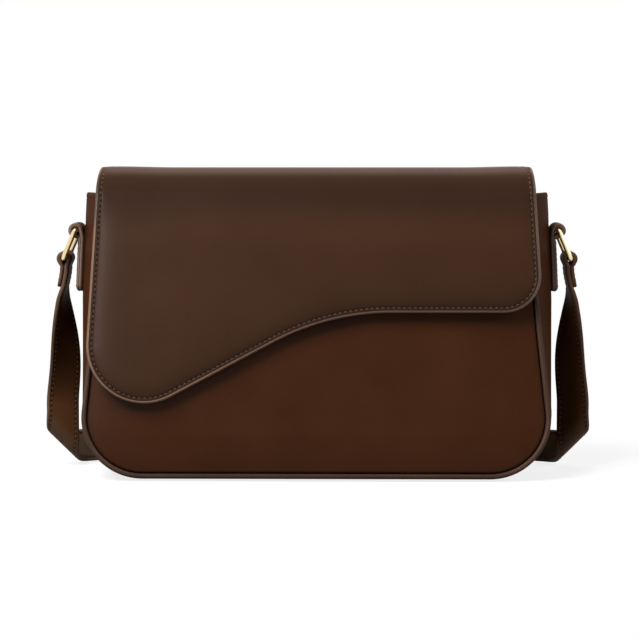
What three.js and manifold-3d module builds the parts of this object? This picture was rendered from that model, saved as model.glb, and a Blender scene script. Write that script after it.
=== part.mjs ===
// A small flap-over shoulder bag in brown leather. Two panels are sewn to a gusset with piping, a
// flap bends over the mouth and closes on a magnetic snap, and a flat strap hangs from two rings.
// Millimetres. +Z is up, the front faces -Y, and the origin is the middle of the base.

import * as THREE from 'three';
import { mergeVertices } from 'three/addons/utils/BufferGeometryUtils.js';
import Module from 'manifold-3d';

const wasm = await Module();
wasm.setup();

const degrees = THREE.MathUtils.degToRad;
const lerp = THREE.MathUtils.lerp;
const ease = (share) => THREE.MathUtils.smoothstep(share, 0, 1);

// Overall sizes
const BODY_WIDTH = 240; // across the seam line at its widest
const BODY_DEPTH = 68; // between the outer faces of the two panels
const MOUTH_HEIGHT = 148.2; // top edge of the gusset and the back panel
const FLAP_RISE = 13.9; // of the closed flap's top above the mouth

// Clearances
const GAP = 0.3; // between pieces that touch
const LOOP_CLEARANCE = 0.9; // round a ring's wire inside a leather loop
const RING_SIDE_CLEARANCE = 1; // between a ring's leg and the strap's edge
const FLAP_OVER_PIPING = 0.8; // between the back panel and the flap sewn over it

// Panels
const LEATHER = 1.8; // thickness of the body leather
const LEATHER_BEVEL = 0.4; // rounding of its cut edges
const FRONT_DROP = 7; // of the front panel's top edge below the mouth, under the flap
const CORNER_RADIUS = 30; // lower corners of the seam line
const SIDE_LEAN = degrees(6.7); // of the seam line, in towards the top
const SEAM_RISE = 2.4; // of the seam line above the base
const PIPING_RADIUS = 1.4;
const PIPING_SET_BACK = 1.3; // of the piping's centre behind the panel's face

// Gusset
const SIDE_SPREAD = 4; // of the gusset's middle beyond the widest seam
const MOUTH_SPREAD = 1.5; // the same, at the mouth
const SPREAD_DROP = 52; // below the mouth, where the sides start to draw in
const BASE_FLAT_SHARE = 0.82; // of the depth over which the base is flat
const MID_COLUMN = 0.5; // share of the depth at which the gusset's faces turn

// Boards and lining
const BOARD = 0.8;
const BASE_BOARD = 1;
const BASE_BOARD_MARGIN = 3; // at the base board's edges
const LINING = 0.6;
const LINING_DROP = 3; // of the lining's top below the leather's
const POCKET_WIDTH = 120;
const POCKET_DEPTH = 60;
const POCKET_DROP = 42; // of the pocket's open edge below the mouth

// Flap
const FLAP_LEATHER = 1.2;
const FLAP_BOARD = 0.6;
const FLAP_LINING = 0.8;
const FLAP_RIM = 7; // border of the flap lining that is sewn to the leather
const FLAP_OVERHANG = 5.5; // beyond the panel at the mouth
const FLAP_LEAN = degrees(4.2); // of the flap's sides, out towards the bottom
const BEND_RADIUS = 15; // outer face of both bends
const ANCHOR_DROP = 35; // below the mouth, of the flap's lower back edge, sewn to the back panel
const ANCHOR_CORNER = 12;
const LOBE_RADIUS = 29.5; // round lobe at the flap's lower left
const LOBE_HEIGHT = 40.9; // lowest point of the lobe
const SLOPE = degrees(28); // of the straight run from the lobe to the short side
const SWEEP_RADIUS = 129; // hollow curve that levels the slope out
const SHORT_HEIGHT = 87.7; // lower edge on the short side
const SHORT_CORNER = 19; // round corner of the short side

// Magnetic snap
const SNAP_RADIUS = 9;
const SNAP_INWARD = 12; // from the lobe's centre
const SOCKET = 2;
const SOCKET_FLOOR = 0.4;
const STUD_PLATE = 0.8;
const POST_RADIUS = 2.5;
const POST_LENGTH = 1.3;
const POST_CLEARANCE = 1.1; // lets the flap swing away without catching
const WASHER_RADIUS = 8;
const WASHER_HOLE = 2;

// Tabs, rings and strap
const TAB_LEATHER = 1.7;
const TAB_LENGTH = 32; // from the ring's bar down to the tab's end
const TAB_END_ROUND = 1.2;
const NECK = 10; // from a loop's centre down to where its two layers meet
const TAB_NECK_ANGLE = degrees(50); // below level, where the loop turns in to the neck
const STRAP_NECK_ANGLE = degrees(35);
const RING_DROP = 19.5; // below the mouth, of the ring's bar in the tab
const RING_WIRE = 2.6;
const RING_LENGTH = 16.1; // between the centres of the two bars
const RING_CORNER = 3;
const RING_LEAN = degrees(23); // of the hanging ring, out from the bag
const STRAP_WIDTH = 18;
const STRAP = 2.4; // thickness of the strap
const STRAP_TAIL = 2.2; // thickness of its end, folded back on the outside
const STRAP_LOOP = 1.8; // leather of the loop round the ring
const TAIL_LENGTH = 15; // from the ring's bar down to the tail's end
const FOLD_OUT = 5; // of the strap's fold, out from the ring's lower bar
const FOLD_FORWARD = 17; // of the strap's fold, in front of the bag's back
const FOLD_RADIUS = 3.2; // of the strap's middle layer in the fold
const FOLD_HEADING = degrees(35); // in which the strap leaves the fold, turned back from level across
const FOLD_MARGIN = 2; // of strap kept flat before and after the fold
const STRAP_LIFT = 0.5; // of the strap's lower edge above the base
const STRAP_TUCK = 2; // of the strap inside its sewn end
const END_PROUD = 0.15; // of the sewn end round the strap's edges and inner face

// Colours and finishes
const finish = (color, roughness, metalness = 0) => (
  () => new THREE.MeshStandardMaterial({ color, roughness, metalness })
);
const LEATHER_BROWN = finish(0x47301f, 0.42);
const LEATHER_EDGE = finish(0x6b4c38, 0.5);
const LINING_TAN = finish(0x7d6549, 0.9);
const BOARD_GREY = finish(0x8c8273, 0.95);
const PALE_GOLD = finish(0xdcc592, 0.18, 1);

// Where the main faces lie, worked out from the sizes above
const flapHeight = MOUTH_HEIGHT + FLAP_RISE;
const frontHeight = MOUTH_HEIGHT - FRONT_DROP;
const ringHeight = MOUTH_HEIGHT - RING_DROP;
const spreadHeight = MOUTH_HEIGHT - SPREAD_DROP;
const panelFace = BODY_DEPTH / 2;
const panelBack = panelFace - LEATHER;
const pipingDepth = panelFace - PIPING_SET_BACK;
const panelInset = PIPING_RADIUS + GAP;
const gussetDepth = pipingDepth - PIPING_RADIUS - GAP;
const boardFace = panelBack - GAP;
const liningFace = boardFace - BOARD - GAP;
const liningBack = liningFace - LINING;
const gussetLiningInset = LEATHER + GAP + BASE_BOARD + GAP;
const gussetLiningDepth = liningBack - GAP;
const cornerX = BODY_WIDTH / 2 - CORNER_RADIUS;
const cornerZ = SEAM_RISE + CORNER_RADIUS;

const flapThickness = FLAP_LEATHER + GAP + FLAP_BOARD + GAP + FLAP_LINING;
const snapSpace = GAP + SOCKET + GAP + STUD_PLATE + GAP;
const flapBackFace = panelFace + snapSpace; // distance in front of the middle
const flapFrontFace = flapBackFace + flapThickness;
const anchorFace = panelFace + FLAP_OVER_PIPING;
const bendHeight = flapHeight - BEND_RADIUS;
const frontBendY = -(flapFrontFace - BEND_RADIUS);
const rearBendY = anchorFace + flapThickness - BEND_RADIUS;

// Half the width between the two straight sides of the seam line
function seamHalfWidth(z, inset = 0) {
  const run = CORNER_RADIUS - inset - (z - cornerZ) * Math.sin(SIDE_LEAN);
  return cornerX + run / Math.cos(SIDE_LEAN);
}

// Half the width of the bag at the middle of its depth, where the gusset stands out furthest
function gussetHalfWidth(z) {
  const share = (z - spreadHeight) / (MOUTH_HEIGHT - spreadHeight);
  return BODY_WIDTH / 2 + lerp(SIDE_SPREAD, MOUTH_SPREAD, Math.max(share, 0));
}

const flapTopHalfWidth = seamHalfWidth(MOUTH_HEIGHT) + FLAP_OVERHANG;
const flapHalfWidth = (z) => flapTopHalfWidth + (bendHeight - z) * Math.tan(FLAP_LEAN);
const lobeZ = LOBE_HEIGHT + LOBE_RADIUS;
const lobeX = LOBE_RADIUS / Math.cos(FLAP_LEAN) - flapHalfWidth(lobeZ);
const snapX = lobeX + SNAP_INWARD;
const snapZ = lobeZ;

// Distances out from the middle of the bag, the same on both sides
const loopHole = RING_WIRE / 2 + LOOP_CLEARANCE;
const tabLoopRadius = loopHole + TAB_LEATHER;
const strapLoopRadius = loopHole + STRAP_LOOP;
const upperBar = { out: gussetHalfWidth(ringHeight) + GAP + tabLoopRadius, z: ringHeight };
const lowerBar = {
  out: upperBar.out + RING_LENGTH * Math.sin(RING_LEAN),
  z: upperBar.z - RING_LENGTH * Math.cos(RING_LEAN),
};

// Closed geometry from points and triangles, turned over if its faces point in
function solid(points, triangles) {
  const corners = triangles.map((index) => new THREE.Vector3(...points[index]));
  let volume = 0;
  for (let i = 0; i < corners.length; i += 3) {
    volume += corners[i].dot(corners[i + 1].clone().cross(corners[i + 2]));
  }
  const order = volume < 0 ? triangles.slice().reverse() : triangles;
  const geometry = new THREE.BufferGeometry();
  geometry.setAttribute('position', new THREE.Float32BufferAttribute(points.flat(), 3));
  geometry.setIndex(order);
  return geometry;
}

// A closed sheet between two grids of points with the same rows and columns
function slab(near, far) {
  const lastRow = near.length - 1;
  const lastColumn = near[0].length - 1;
  const index = (row, column) => row * (lastColumn + 1) + column;
  const farSide = near.length * near[0].length;
  const triangles = [];
  const quad = (a, b, c, d) => triangles.push(a, b, c, a, c, d);
  for (let row = 0; row < lastRow; row += 1) {
    for (let column = 0; column < lastColumn; column += 1) {
      const a = index(row, column);
      const b = index(row + 1, column);
      const c = index(row + 1, column + 1);
      const d = index(row, column + 1);
      quad(a, b, c, d);
      quad(farSide + a, farSide + d, farSide + c, farSide + b);
    }
  }
  const wall = (from, to) => quad(to, from, farSide + from, farSide + to);
  for (let row = 0; row < lastRow; row += 1) {
    wall(index(row, 0), index(row + 1, 0));
    wall(index(row + 1, lastColumn), index(row, lastColumn));
  }
  for (let column = 0; column < lastColumn; column += 1) {
    wall(index(0, column + 1), index(0, column));
    wall(index(lastRow, column), index(lastRow, column + 1));
  }
  return solid([...near.flat(), ...far.flat()], triangles);
}

// A plate with an outline in X and Z, from yBack forwards by its thickness
function plate(shape, yBack, thickness, bevel = 0) {
  const geometry = new THREE.ExtrudeGeometry(shape, {
    depth: thickness - 2 * bevel,
    bevelEnabled: bevel > 0,
    bevelThickness: bevel,
    bevelSize: bevel,
    bevelOffset: -bevel,
    bevelSegments: 1,
    curveSegments: 10,
    steps: 1,
  });
  geometry.translate(0, 0, bevel);
  geometry.rotateX(Math.PI / 2);
  geometry.translate(0, yBack, 0);
  return geometry;
}

function toManifold(geometry) {
  const bare = geometry.clone();
  bare.deleteAttribute('normal');
  bare.deleteAttribute('uv');
  const merged = mergeVertices(bare, 1e-4);
  return new wasm.Manifold(new wasm.Mesh({
    numProp: 3,
    vertProperties: new Float32Array(merged.attributes.position.array),
    triVerts: new Uint32Array(merged.index.array),
  }));
}

function fromManifold(manifold) {
  const mesh = manifold.getMesh();
  const geometry = new THREE.BufferGeometry();
  geometry.setAttribute('position', new THREE.BufferAttribute(mesh.vertProperties, 3));
  geometry.setIndex(new THREE.BufferAttribute(mesh.triVerts, 1));
  return geometry;
}

const bag = new THREE.Group();

function place(name, geometry, material, group = bag) {
  geometry.computeVertexNormals();
  const mesh = new THREE.Mesh(geometry, material());
  mesh.name = name;
  group.add(mesh);
}

// Panels, boards and lining: the seam line drawn in by an inset, cut straight across the top
function panelShape(topZ, inset) {
  const radius = CORNER_RADIUS - inset;
  const topX = seamHalfWidth(topZ, inset);
  const shape = new THREE.Shape();
  shape.moveTo(topX, topZ);
  shape.lineTo(-topX, topZ);
  shape.absarc(-cornerX, cornerZ, radius, Math.PI - SIDE_LEAN, 1.5 * Math.PI, false);
  shape.absarc(cornerX, cornerZ, radius, 1.5 * Math.PI, 2 * Math.PI + SIDE_LEAN, false);
  shape.closePath();
  return shape;
}

function roundHole(x, z, radius) {
  const hole = new THREE.Path();
  hole.absarc(x, z, radius, 0, 2 * Math.PI, false);
  return hole;
}

const frontPanelShape = panelShape(frontHeight, panelInset);
place('front_panel', plate(frontPanelShape, -panelBack, LEATHER, LEATHER_BEVEL), LEATHER_BROWN);
const backPanelShape = panelShape(MOUTH_HEIGHT, panelInset);
place('back_panel', plate(backPanelShape, panelFace, LEATHER, LEATHER_BEVEL), LEATHER_BROWN);

const frontLiningTop = frontHeight - LINING_DROP;
const backLiningTop = MOUTH_HEIGHT - LINING_DROP;
const boardInset = panelInset + GAP;
const frontBoardShape = panelShape(frontLiningTop, boardInset);
frontBoardShape.holes.push(roundHole(snapX, snapZ, WASHER_RADIUS + GAP));
place('front_board', plate(frontBoardShape, BOARD - boardFace, BOARD), BOARD_GREY);
place('back_board', plate(panelShape(backLiningTop, boardInset), boardFace, BOARD), BOARD_GREY);

const liningInset = LEATHER + GAP;
place('front_lining', plate(panelShape(frontLiningTop, liningInset), -liningBack, LINING), LINING_TAN);
place('back_lining', plate(panelShape(backLiningTop, liningInset), liningFace, LINING), LINING_TAN);

// Slip pocket, sewn to the back lining on three sides and open at the top
function slipPocket() {
  const half = POCKET_WIDTH / 2;
  const top = MOUTH_HEIGHT - POCKET_DROP;
  const bottom = top - POCKET_DEPTH;
  const shape = new THREE.Shape();
  shape.moveTo(-half, top);
  shape.lineTo(-half, bottom);
  shape.lineTo(half, bottom);
  shape.lineTo(half, top);
  shape.closePath();
  return plate(shape, liningBack - GAP, LINING);
}
place('slip_pocket', slipPocket(), LINING_TAN);

// The seam line as stations from the middle of the base up the right side. Each has its point, the
// direction that faces out, how far the gusset stands out there and how flat the gusset is.
function seamStations(topZ) {
  const stations = [];
  const baseSteps = 3;
  for (let step = 0; step < baseSteps; step += 1) {
    const x = cornerX * step / baseSteps;
    stations.push({ x, z: SEAM_RISE, angle: -Math.PI / 2, bulge: SEAM_RISE, flat: 1 });
  }
  const sideBulge = (z) => (gussetHalfWidth(z) - seamHalfWidth(z)) * Math.cos(SIDE_LEAN);
  const tangentZ = cornerZ + CORNER_RADIUS * Math.sin(SIDE_LEAN);
  const cornerSteps = 8;
  for (let step = 0; step < cornerSteps; step += 1) {
    const share = step / cornerSteps;
    const angle = lerp(-Math.PI / 2, SIDE_LEAN, share);
    stations.push({
      x: cornerX + CORNER_RADIUS * Math.cos(angle),
      z: cornerZ + CORNER_RADIUS * Math.sin(angle),
      angle,
      bulge: lerp(SEAM_RISE, sideBulge(tangentZ), ease(share)),
      flat: 1 - ease(share),
    });
  }
  const sideSteps = 7;
  for (let step = 0; step <= sideSteps; step += 1) {
    const z = lerp(tangentZ, topZ, step / sideSteps);
    stations.push({ x: seamHalfWidth(z), z, angle: SIDE_LEAN, bulge: sideBulge(z), flat: 0 });
  }
  return stations;
}

// The same stations on both sides, from the left end of the mouth round to the right end
function wholeSeam(topZ) {
  const right = seamStations(topZ);
  const left = right.slice(1).reverse().map((station) => (
    { ...station, x: -station.x, angle: Math.PI - station.angle }
  ));
  return [...left, ...right];
}

// The gusset's face at a depth below its outer side, from the front seam to the back seam
function gussetGrid(topZ, halfDepth, inset) {
  const columns = [-1, -BASE_FLAT_SHARE, -MID_COLUMN, 0, MID_COLUMN, BASE_FLAT_SHARE, 1];
  return wholeSeam(topZ).map(({ x, z, angle, bulge, flat }) => columns.map((column) => {
    const flatProfile = Math.min(1, (1 - Math.abs(column)) / (1 - BASE_FLAT_SHARE));
    const out = bulge * lerp(1 - column * column, flatProfile, flat) - inset;
    return [x + out * Math.cos(angle), column * halfDepth, z + out * Math.sin(angle)];
  }));
}

place('gusset', slab(
  gussetGrid(MOUTH_HEIGHT, gussetDepth, 0),
  gussetGrid(MOUTH_HEIGHT, gussetDepth, LEATHER),
), LEATHER_BROWN);
place('gusset_lining', slab(
  gussetGrid(backLiningTop, gussetLiningDepth, gussetLiningInset),
  gussetGrid(backLiningTop, gussetLiningDepth, gussetLiningInset + LINING),
), LINING_TAN);

const baseBoardDepth = 2 * (gussetLiningDepth * BASE_FLAT_SHARE - BASE_BOARD_MARGIN);
const baseBoard = new THREE.BoxGeometry(2 * (cornerX - BASE_BOARD_MARGIN), baseBoardDepth, BASE_BOARD);
baseBoard.translate(0, 0, LEATHER + GAP + BASE_BOARD / 2);
place('base_board', baseBoard, BOARD_GREY);

// The seam line as a curve whose even steps fall on the stations, which are closer at the corners
class SeamCurve extends THREE.Curve {
  constructor(topZ, y) {
    super();
    this.stations = wholeSeam(topZ).map(({ x, z }) => new THREE.Vector3(x, y, z));
    this.steps = this.stations.length - 1;
  }

  getPoint(share) {
    const index = Math.min(Math.floor(share * this.steps), this.steps - 1);
    return this.stations[index].clone().lerp(this.stations[index + 1], share * this.steps - index);
  }

  getPointAt(share) {
    return this.getPoint(share);
  }

  getTangentAt(share) {
    return this.getTangent(share);
  }
}

// Piping: a covered cord along each seam
function piping(topZ, y) {
  const seam = new SeamCurve(topZ, y);
  const section = new THREE.Shape();
  section.absarc(0, 0, PIPING_RADIUS, 0, 2 * Math.PI, false);
  return new THREE.ExtrudeGeometry(section, { extrudePath: seam, steps: seam.steps, curveSegments: 4 });
}
place('front_piping', piping(frontHeight, -pipingDepth), LEATHER_EDGE);
place('back_piping', piping(MOUTH_HEIGHT, pipingDepth), LEATHER_EDGE);

// Flap: its front has straight sides, a round lobe, a slope that sweeps level, and a round corner
function flapShape(topZ, inset = 0) {
  const edge = inset / Math.cos(FLAP_LEAN);
  const cornerHeight = SHORT_HEIGHT + SHORT_CORNER;
  const shortX = flapHalfWidth(cornerHeight) - SHORT_CORNER / Math.cos(FLAP_LEAN);
  const lobeEndX = lobeX + LOBE_RADIUS * Math.sin(SLOPE);
  const lobeEndZ = lobeZ - LOBE_RADIUS * Math.cos(SLOPE);
  const sweepStartZ = SHORT_HEIGHT - SWEEP_RADIUS * (1 - Math.cos(SLOPE));
  const sweepStartX = lobeEndX + (sweepStartZ - lobeEndZ) / Math.tan(SLOPE);
  const sweepX = sweepStartX + SWEEP_RADIUS * Math.sin(SLOPE);
  const sweepZ = SHORT_HEIGHT - SWEEP_RADIUS;
  const right = Math.PI / 2;
  const shape = new THREE.Shape();
  shape.moveTo(flapHalfWidth(topZ) - edge, topZ - inset);
  shape.lineTo(edge - flapHalfWidth(topZ), topZ - inset);
  shape.absarc(lobeX, lobeZ, LOBE_RADIUS - inset, 2 * right - FLAP_LEAN, 3 * right + SLOPE, false);
  shape.absarc(sweepX, sweepZ, SWEEP_RADIUS + inset, right + SLOPE, right, true);
  shape.absarc(shortX, cornerHeight, SHORT_CORNER - inset, 3 * right, 4 * right + FLAP_LEAN, false);
  shape.closePath();
  return shape;
}

const flapTop = bendHeight - GAP;
const flapBoardFace = flapFrontFace - FLAP_LEATHER - GAP;
const rimThickness = flapThickness - FLAP_LEATHER - GAP;
const flapLeatherBack = FLAP_LEATHER - flapFrontFace;
place('flap_leather', plate(flapShape(flapTop), flapLeatherBack, FLAP_LEATHER), LEATHER_BROWN);

// The flap lining is thicker at its rim, where it meets the leather, and hollow for the board
const rimmedLining = plate(flapShape(flapTop), -flapBackFace, rimThickness);
const boardHollow = plate(flapShape(flapTop, FLAP_RIM), -flapBackFace - FLAP_LINING, rimThickness);
const hollowLining = toManifold(rimmedLining).subtract(toManifold(boardHollow));
place('flap_lining', fromManifold(hollowLining), LEATHER_EDGE);

const flapBoardShape = flapShape(flapTop, FLAP_RIM + GAP);
flapBoardShape.holes.push(roundHole(snapX, snapZ, WASHER_RADIUS + GAP));
place('flap_board', plate(flapBoardShape, FLAP_BOARD - flapBoardFace, FLAP_BOARD), BOARD_GREY);

// A bend of the flap about a line along X, from level on top to upright
function flapBend(centreY, direction) {
  const steps = 8;
  const trim = GAP / BEND_RADIUS;
  const arc = (radius) => Array.from({ length: steps + 1 }, (_, step) => {
    const angle = lerp(trim, Math.PI / 2 - trim, step / steps);
    const y = centreY + direction * radius * Math.sin(angle);
    const z = bendHeight + radius * Math.cos(angle);
    return [[-flapTopHalfWidth, y, z], [flapTopHalfWidth, y, z]];
  });
  return slab(arc(BEND_RADIUS), arc(BEND_RADIUS - flapThickness));
}
place('flap_front_bend', flapBend(frontBendY, -1), LEATHER_BROWN);
place('flap_rear_bend', flapBend(rearBendY, 1), LEATHER_BROWN);

const bridgeDepth = rearBendY - frontBendY - 2 * GAP;
const bridge = new THREE.BoxGeometry(2 * flapTopHalfWidth, bridgeDepth, flapThickness);
bridge.translate(0, (rearBendY + frontBendY) / 2, flapHeight - flapThickness / 2);
place('flap_bridge', bridge, LEATHER_BROWN);

function anchorShape() {
  const low = MOUTH_HEIGHT - ANCHOR_DROP + ANCHOR_CORNER;
  const inner = flapTopHalfWidth - ANCHOR_CORNER;
  const shape = new THREE.Shape();
  shape.moveTo(flapTopHalfWidth, flapTop);
  shape.lineTo(-flapTopHalfWidth, flapTop);
  shape.absarc(-inner, low, ANCHOR_CORNER, Math.PI, 1.5 * Math.PI, false);
  shape.absarc(inner, low, ANCHOR_CORNER, 1.5 * Math.PI, 2 * Math.PI, false);
  shape.closePath();
  return shape;
}
place('flap_anchor', plate(anchorShape(), anchorFace + flapThickness, flapThickness), LEATHER_BROWN);

// Snap pieces are turned about a line along Y. Their profiles give a radius and a distance in front
// of the middle of the bag.
function turned(profile) {
  const points = profile.map(([radius, front]) => new THREE.Vector2(radius, -front));
  const geometry = new THREE.LatheGeometry(points, 24);
  const position = geometry.attributes.position;
  const corners = Array.from({ length: position.count }, (_, i) => [
    position.getX(i) + snapX, position.getY(i), position.getZ(i) + snapZ,
  ]);
  return solid(corners, Array.from(geometry.index.array));
}

const holeRadius = POST_RADIUS + POST_CLEARANCE;
const socketBack = panelFace + GAP;
place('snap_socket', turned([
  [0, socketBack],
  [SNAP_RADIUS, socketBack],
  [SNAP_RADIUS, socketBack + SOCKET],
  [holeRadius, socketBack + SOCKET],
  [holeRadius, socketBack + SOCKET_FLOOR],
  [0, socketBack + SOCKET_FLOOR],
]), PALE_GOLD);

const studFront = flapBackFace - GAP;
place('snap_stud', turned([
  [0, studFront],
  [SNAP_RADIUS, studFront],
  [SNAP_RADIUS, studFront - STUD_PLATE],
  [POST_RADIUS, studFront - STUD_PLATE],
  [POST_RADIUS, studFront - STUD_PLATE - POST_LENGTH],
  [0, studFront - STUD_PLATE - POST_LENGTH],
]), PALE_GOLD);

const washer = (front, thickness) => turned([
  [WASHER_HOLE, front],
  [WASHER_RADIUS, front],
  [WASHER_RADIUS, front - thickness],
  [WASHER_HOLE, front - thickness],
  [WASHER_HOLE, front],
]);
place('socket_washer', washer(boardFace, BOARD), PALE_GOLD);
place('stud_washer', washer(flapBoardFace, FLAP_BOARD), PALE_GOLD);

// Tab: a strip folded over the ring's upper bar and sewn flat to the gusset. The profile gives the
// distance out from the middle of the bag and the height, and it is as wide as the strap.
function tab() {
  const bottom = ringHeight - TAB_LENGTH;
  const neck = ringHeight - NECK;
  const inside = (z) => gussetHalfWidth(z) + GAP;
  const outside = (z) => inside(z) + 2 * TAB_LEATHER;
  const shape = new THREE.Shape();
  shape.moveTo(inside(bottom), bottom);
  shape.lineTo(inside(ringHeight), ringHeight);
  shape.absarc(upperBar.out, upperBar.z, tabLoopRadius, Math.PI, -TAB_NECK_ANGLE, true);
  shape.lineTo(outside(neck), neck);
  shape.lineTo(outside(bottom), bottom + TAB_END_ROUND);
  shape.lineTo(outside(bottom) - TAB_END_ROUND, bottom);
  shape.closePath();
  shape.holes.push(roundHole(upperBar.out, upperBar.z, loopHole));
  return plate(shape, STRAP_WIDTH / 2, STRAP_WIDTH);
}

// Ring: round wire bent to a rectangle, hung by its upper bar and leaning out
function ring() {
  const halfWidth = STRAP_WIDTH / 2 + RING_SIDE_CLEARANCE + RING_WIRE / 2;
  const cornerSteps = 4;
  const sides = 8;
  const corners = [
    { y: halfWidth - RING_CORNER, down: RING_CORNER, turn: -Math.PI / 2 },
    { y: halfWidth - RING_CORNER, down: RING_LENGTH - RING_CORNER, turn: 0 },
    { y: RING_CORNER - halfWidth, down: RING_LENGTH - RING_CORNER, turn: Math.PI / 2 },
    { y: RING_CORNER - halfWidth, down: RING_CORNER, turn: Math.PI },
  ];
  const points = [];
  for (const { y, down, turn } of corners) {
    for (let step = 0; step <= cornerSteps; step += 1) {
      const angle = turn + (Math.PI / 2) * step / cornerSteps;
      for (let side = 0; side < sides; side += 1) {
        const around = 2 * Math.PI * side / sides;
        const reach = RING_CORNER + RING_WIRE / 2 * Math.cos(around);
        points.push([
          RING_WIRE / 2 * Math.sin(around),
          y + reach * Math.cos(angle),
          -(down + reach * Math.sin(angle)),
        ]);
      }
    }
  }
  const stations = points.length / sides;
  const triangles = [];
  for (let station = 0; station < stations; station += 1) {
    for (let side = 0; side < sides; side += 1) {
      const nextStation = (station + 1) % stations;
      const nextSide = (side + 1) % sides;
      const a = station * sides + side;
      const b = nextStation * sides + side;
      const c = nextStation * sides + nextSide;
      const d = station * sides + nextSide;
      triangles.push(a, b, c, a, c, d);
    }
  }
  const geometry = solid(points, triangles);
  geometry.rotateY(-RING_LEAN);
  geometry.translate(upperBar.out, 0, upperBar.z);
  return geometry;
}

for (const side of ['left', 'right']) {
  const group = new THREE.Group();
  group.scale.x = side === 'left' ? -1 : 1;
  place(`${side}_tab`, tab(), LEATHER_BROWN, group);
  place(`${side}_ring`, ring(), PALE_GOLD, group);
  bag.add(group);
}

// Strap. Half of it is followed from the ring's lower bar to the middle of its run behind the bag.
// Vectors are [out from the middle of the bag, back, up]. At each station a point across the strap
// has a place and the direction that its face looks in.
const vector = (out, back, up) => new THREE.Vector3(out, back, up);
const down = vector(0, 0, -1);
const across = vector(-Math.cos(FOLD_HEADING), Math.sin(FOLD_HEADING), 0);
const behind = vector(Math.sin(FOLD_HEADING), Math.cos(FOLD_HEADING), 0);
const foldDrop = Math.PI * FOLD_RADIUS / Math.SQRT2;
const foldPoint = vector(
  lowerBar.out + FOLD_OUT,
  panelFace - FOLD_FORWARD,
  STRAP_LIFT + STRAP_WIDTH / 2 + foldDrop,
);
const foldReach = STRAP_WIDTH / 2 + FOLD_MARGIN;
const dropStart = vector(lowerBar.out - STRAP / 2, 0, lowerBar.z - TAIL_LENGTH);
const dropEnd = foldPoint.clone().addScaledVector(down, -foldReach);

// From the tail down to the fold, the strap turns from edge on to nearly facing the front. It turns
// soon and moves out late, as leather that hangs straight and then meets the ground.
function dropStation(share) {
  const centreAt = (s) => vector(
    lerp(dropStart.x, dropEnd.x, ease(s * s)),
    lerp(dropStart.y, dropEnd.y, ease(s)),
    lerp(dropStart.z, dropEnd.z, s),
  );
  const step = 0.001;
  const along = centreAt(share + step).sub(centreAt(share - step)).normalize();
  const heading = lerp(Math.PI / 2, FOLD_HEADING, Math.sin(share * Math.PI / 2));
  const wide = vector(-Math.cos(heading), Math.sin(heading), 0);
  wide.addScaledVector(along, -wide.dot(along)).normalize();
  const face = wide.clone().cross(along);
  return (width) => ({ point: centreAt(share).addScaledVector(wide, width), face });
}

// In the fold, the strap wraps half round a slanting line, as a ribbon turned through a right angle.
// A station lies along that line, at a distance past where the wrap starts.
function foldStation(past) {
  const slant = down.clone().add(across).normalize();
  const onward = down.clone().sub(across).normalize();
  const angle = past / FOLD_RADIUS;
  const face = onward.clone()
    .multiplyScalar(Math.sin(angle))
    .addScaledVector(behind, -Math.cos(angle));
  const start = foldPoint.clone()
    .addScaledVector(onward, FOLD_RADIUS * Math.sin(angle))
    .addScaledVector(behind, FOLD_RADIUS * (1 - Math.cos(angle)));
  const acrossWidth = (width) => start.clone().addScaledVector(slant, past + width * Math.SQRT2);
  return (width) => ({ point: acrossWidth(width), face });
}

// Behind the bag, the strap stands on its edge in a level arc
const arcStart = foldPoint.clone()
  .addScaledVector(down, foldDrop)
  .addScaledVector(across, foldReach + foldDrop)
  .addScaledVector(behind, 2 * FOLD_RADIUS);
const arcRadius = arcStart.x / Math.sin(FOLD_HEADING);
function arcStation(share) {
  const heading = lerp(FOLD_HEADING, 0, share);
  const face = vector(Math.sin(heading), Math.cos(heading), 0);
  const centre = vector(
    arcRadius * Math.sin(heading),
    arcStart.y + arcRadius * (Math.cos(heading) - Math.cos(FOLD_HEADING)),
    arcStart.z,
  );
  return (width) => ({ point: centre.clone().addScaledVector(down, width), face });
}

function halfStrap() {
  const tucked = (width) => {
    const { point, face } = dropStation(0)(width);
    return { point: point.addScaledVector(down, -STRAP_TUCK), face };
  };
  const stations = [tucked];
  const runs = [[dropStation, 14, 1], [foldStation, 10, Math.PI * FOLD_RADIUS], [arcStation, 12, 1]];
  for (const [station, steps, end] of runs) {
    for (let step = 0; step <= steps; step += 1) {
      stations.push(station(end * step / steps));
    }
  }
  return stations;
}

function strapRun() {
  const widths = [-1, 0, 1].map((share) => share * STRAP_WIDTH / 2);
  const half = halfStrap();
  const row = (station, side, offset) => widths.map((width) => {
    const { point, face } = station(width);
    const { x, y, z } = point.clone().addScaledVector(face, offset);
    return [side * x, y, z];
  });
  const grid = (offset) => [
    ...half.map((station) => row(station, -1, offset)),
    ...half.slice(0, -1).reverse().map((station) => row(station, 1, offset)),
  ];
  return slab(grid(STRAP / 2), grid(-STRAP / 2));
}

// The strap's end goes round the ring's lower bar, and its tail is sewn back on the outside
function strapEnd() {
  const end = lowerBar.z - TAIL_LENGTH;
  const neck = lowerBar.z - NECK;
  const { out, z } = lowerBar;
  const inner = out - STRAP - END_PROUD;
  const width = STRAP_WIDTH + 2 * END_PROUD;
  const shape = new THREE.Shape();
  shape.moveTo(inner, end);
  shape.lineTo(inner, neck);
  shape.absarc(out, z, strapLoopRadius, Math.PI + STRAP_NECK_ANGLE, -STRAP_NECK_ANGLE, true);
  shape.lineTo(out + STRAP_TAIL, neck);
  shape.lineTo(out + STRAP_TAIL, end);
  shape.closePath();
  shape.holes.push(roundHole(out, z, loopHole));
  return plate(shape, width / 2, width);
}

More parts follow.
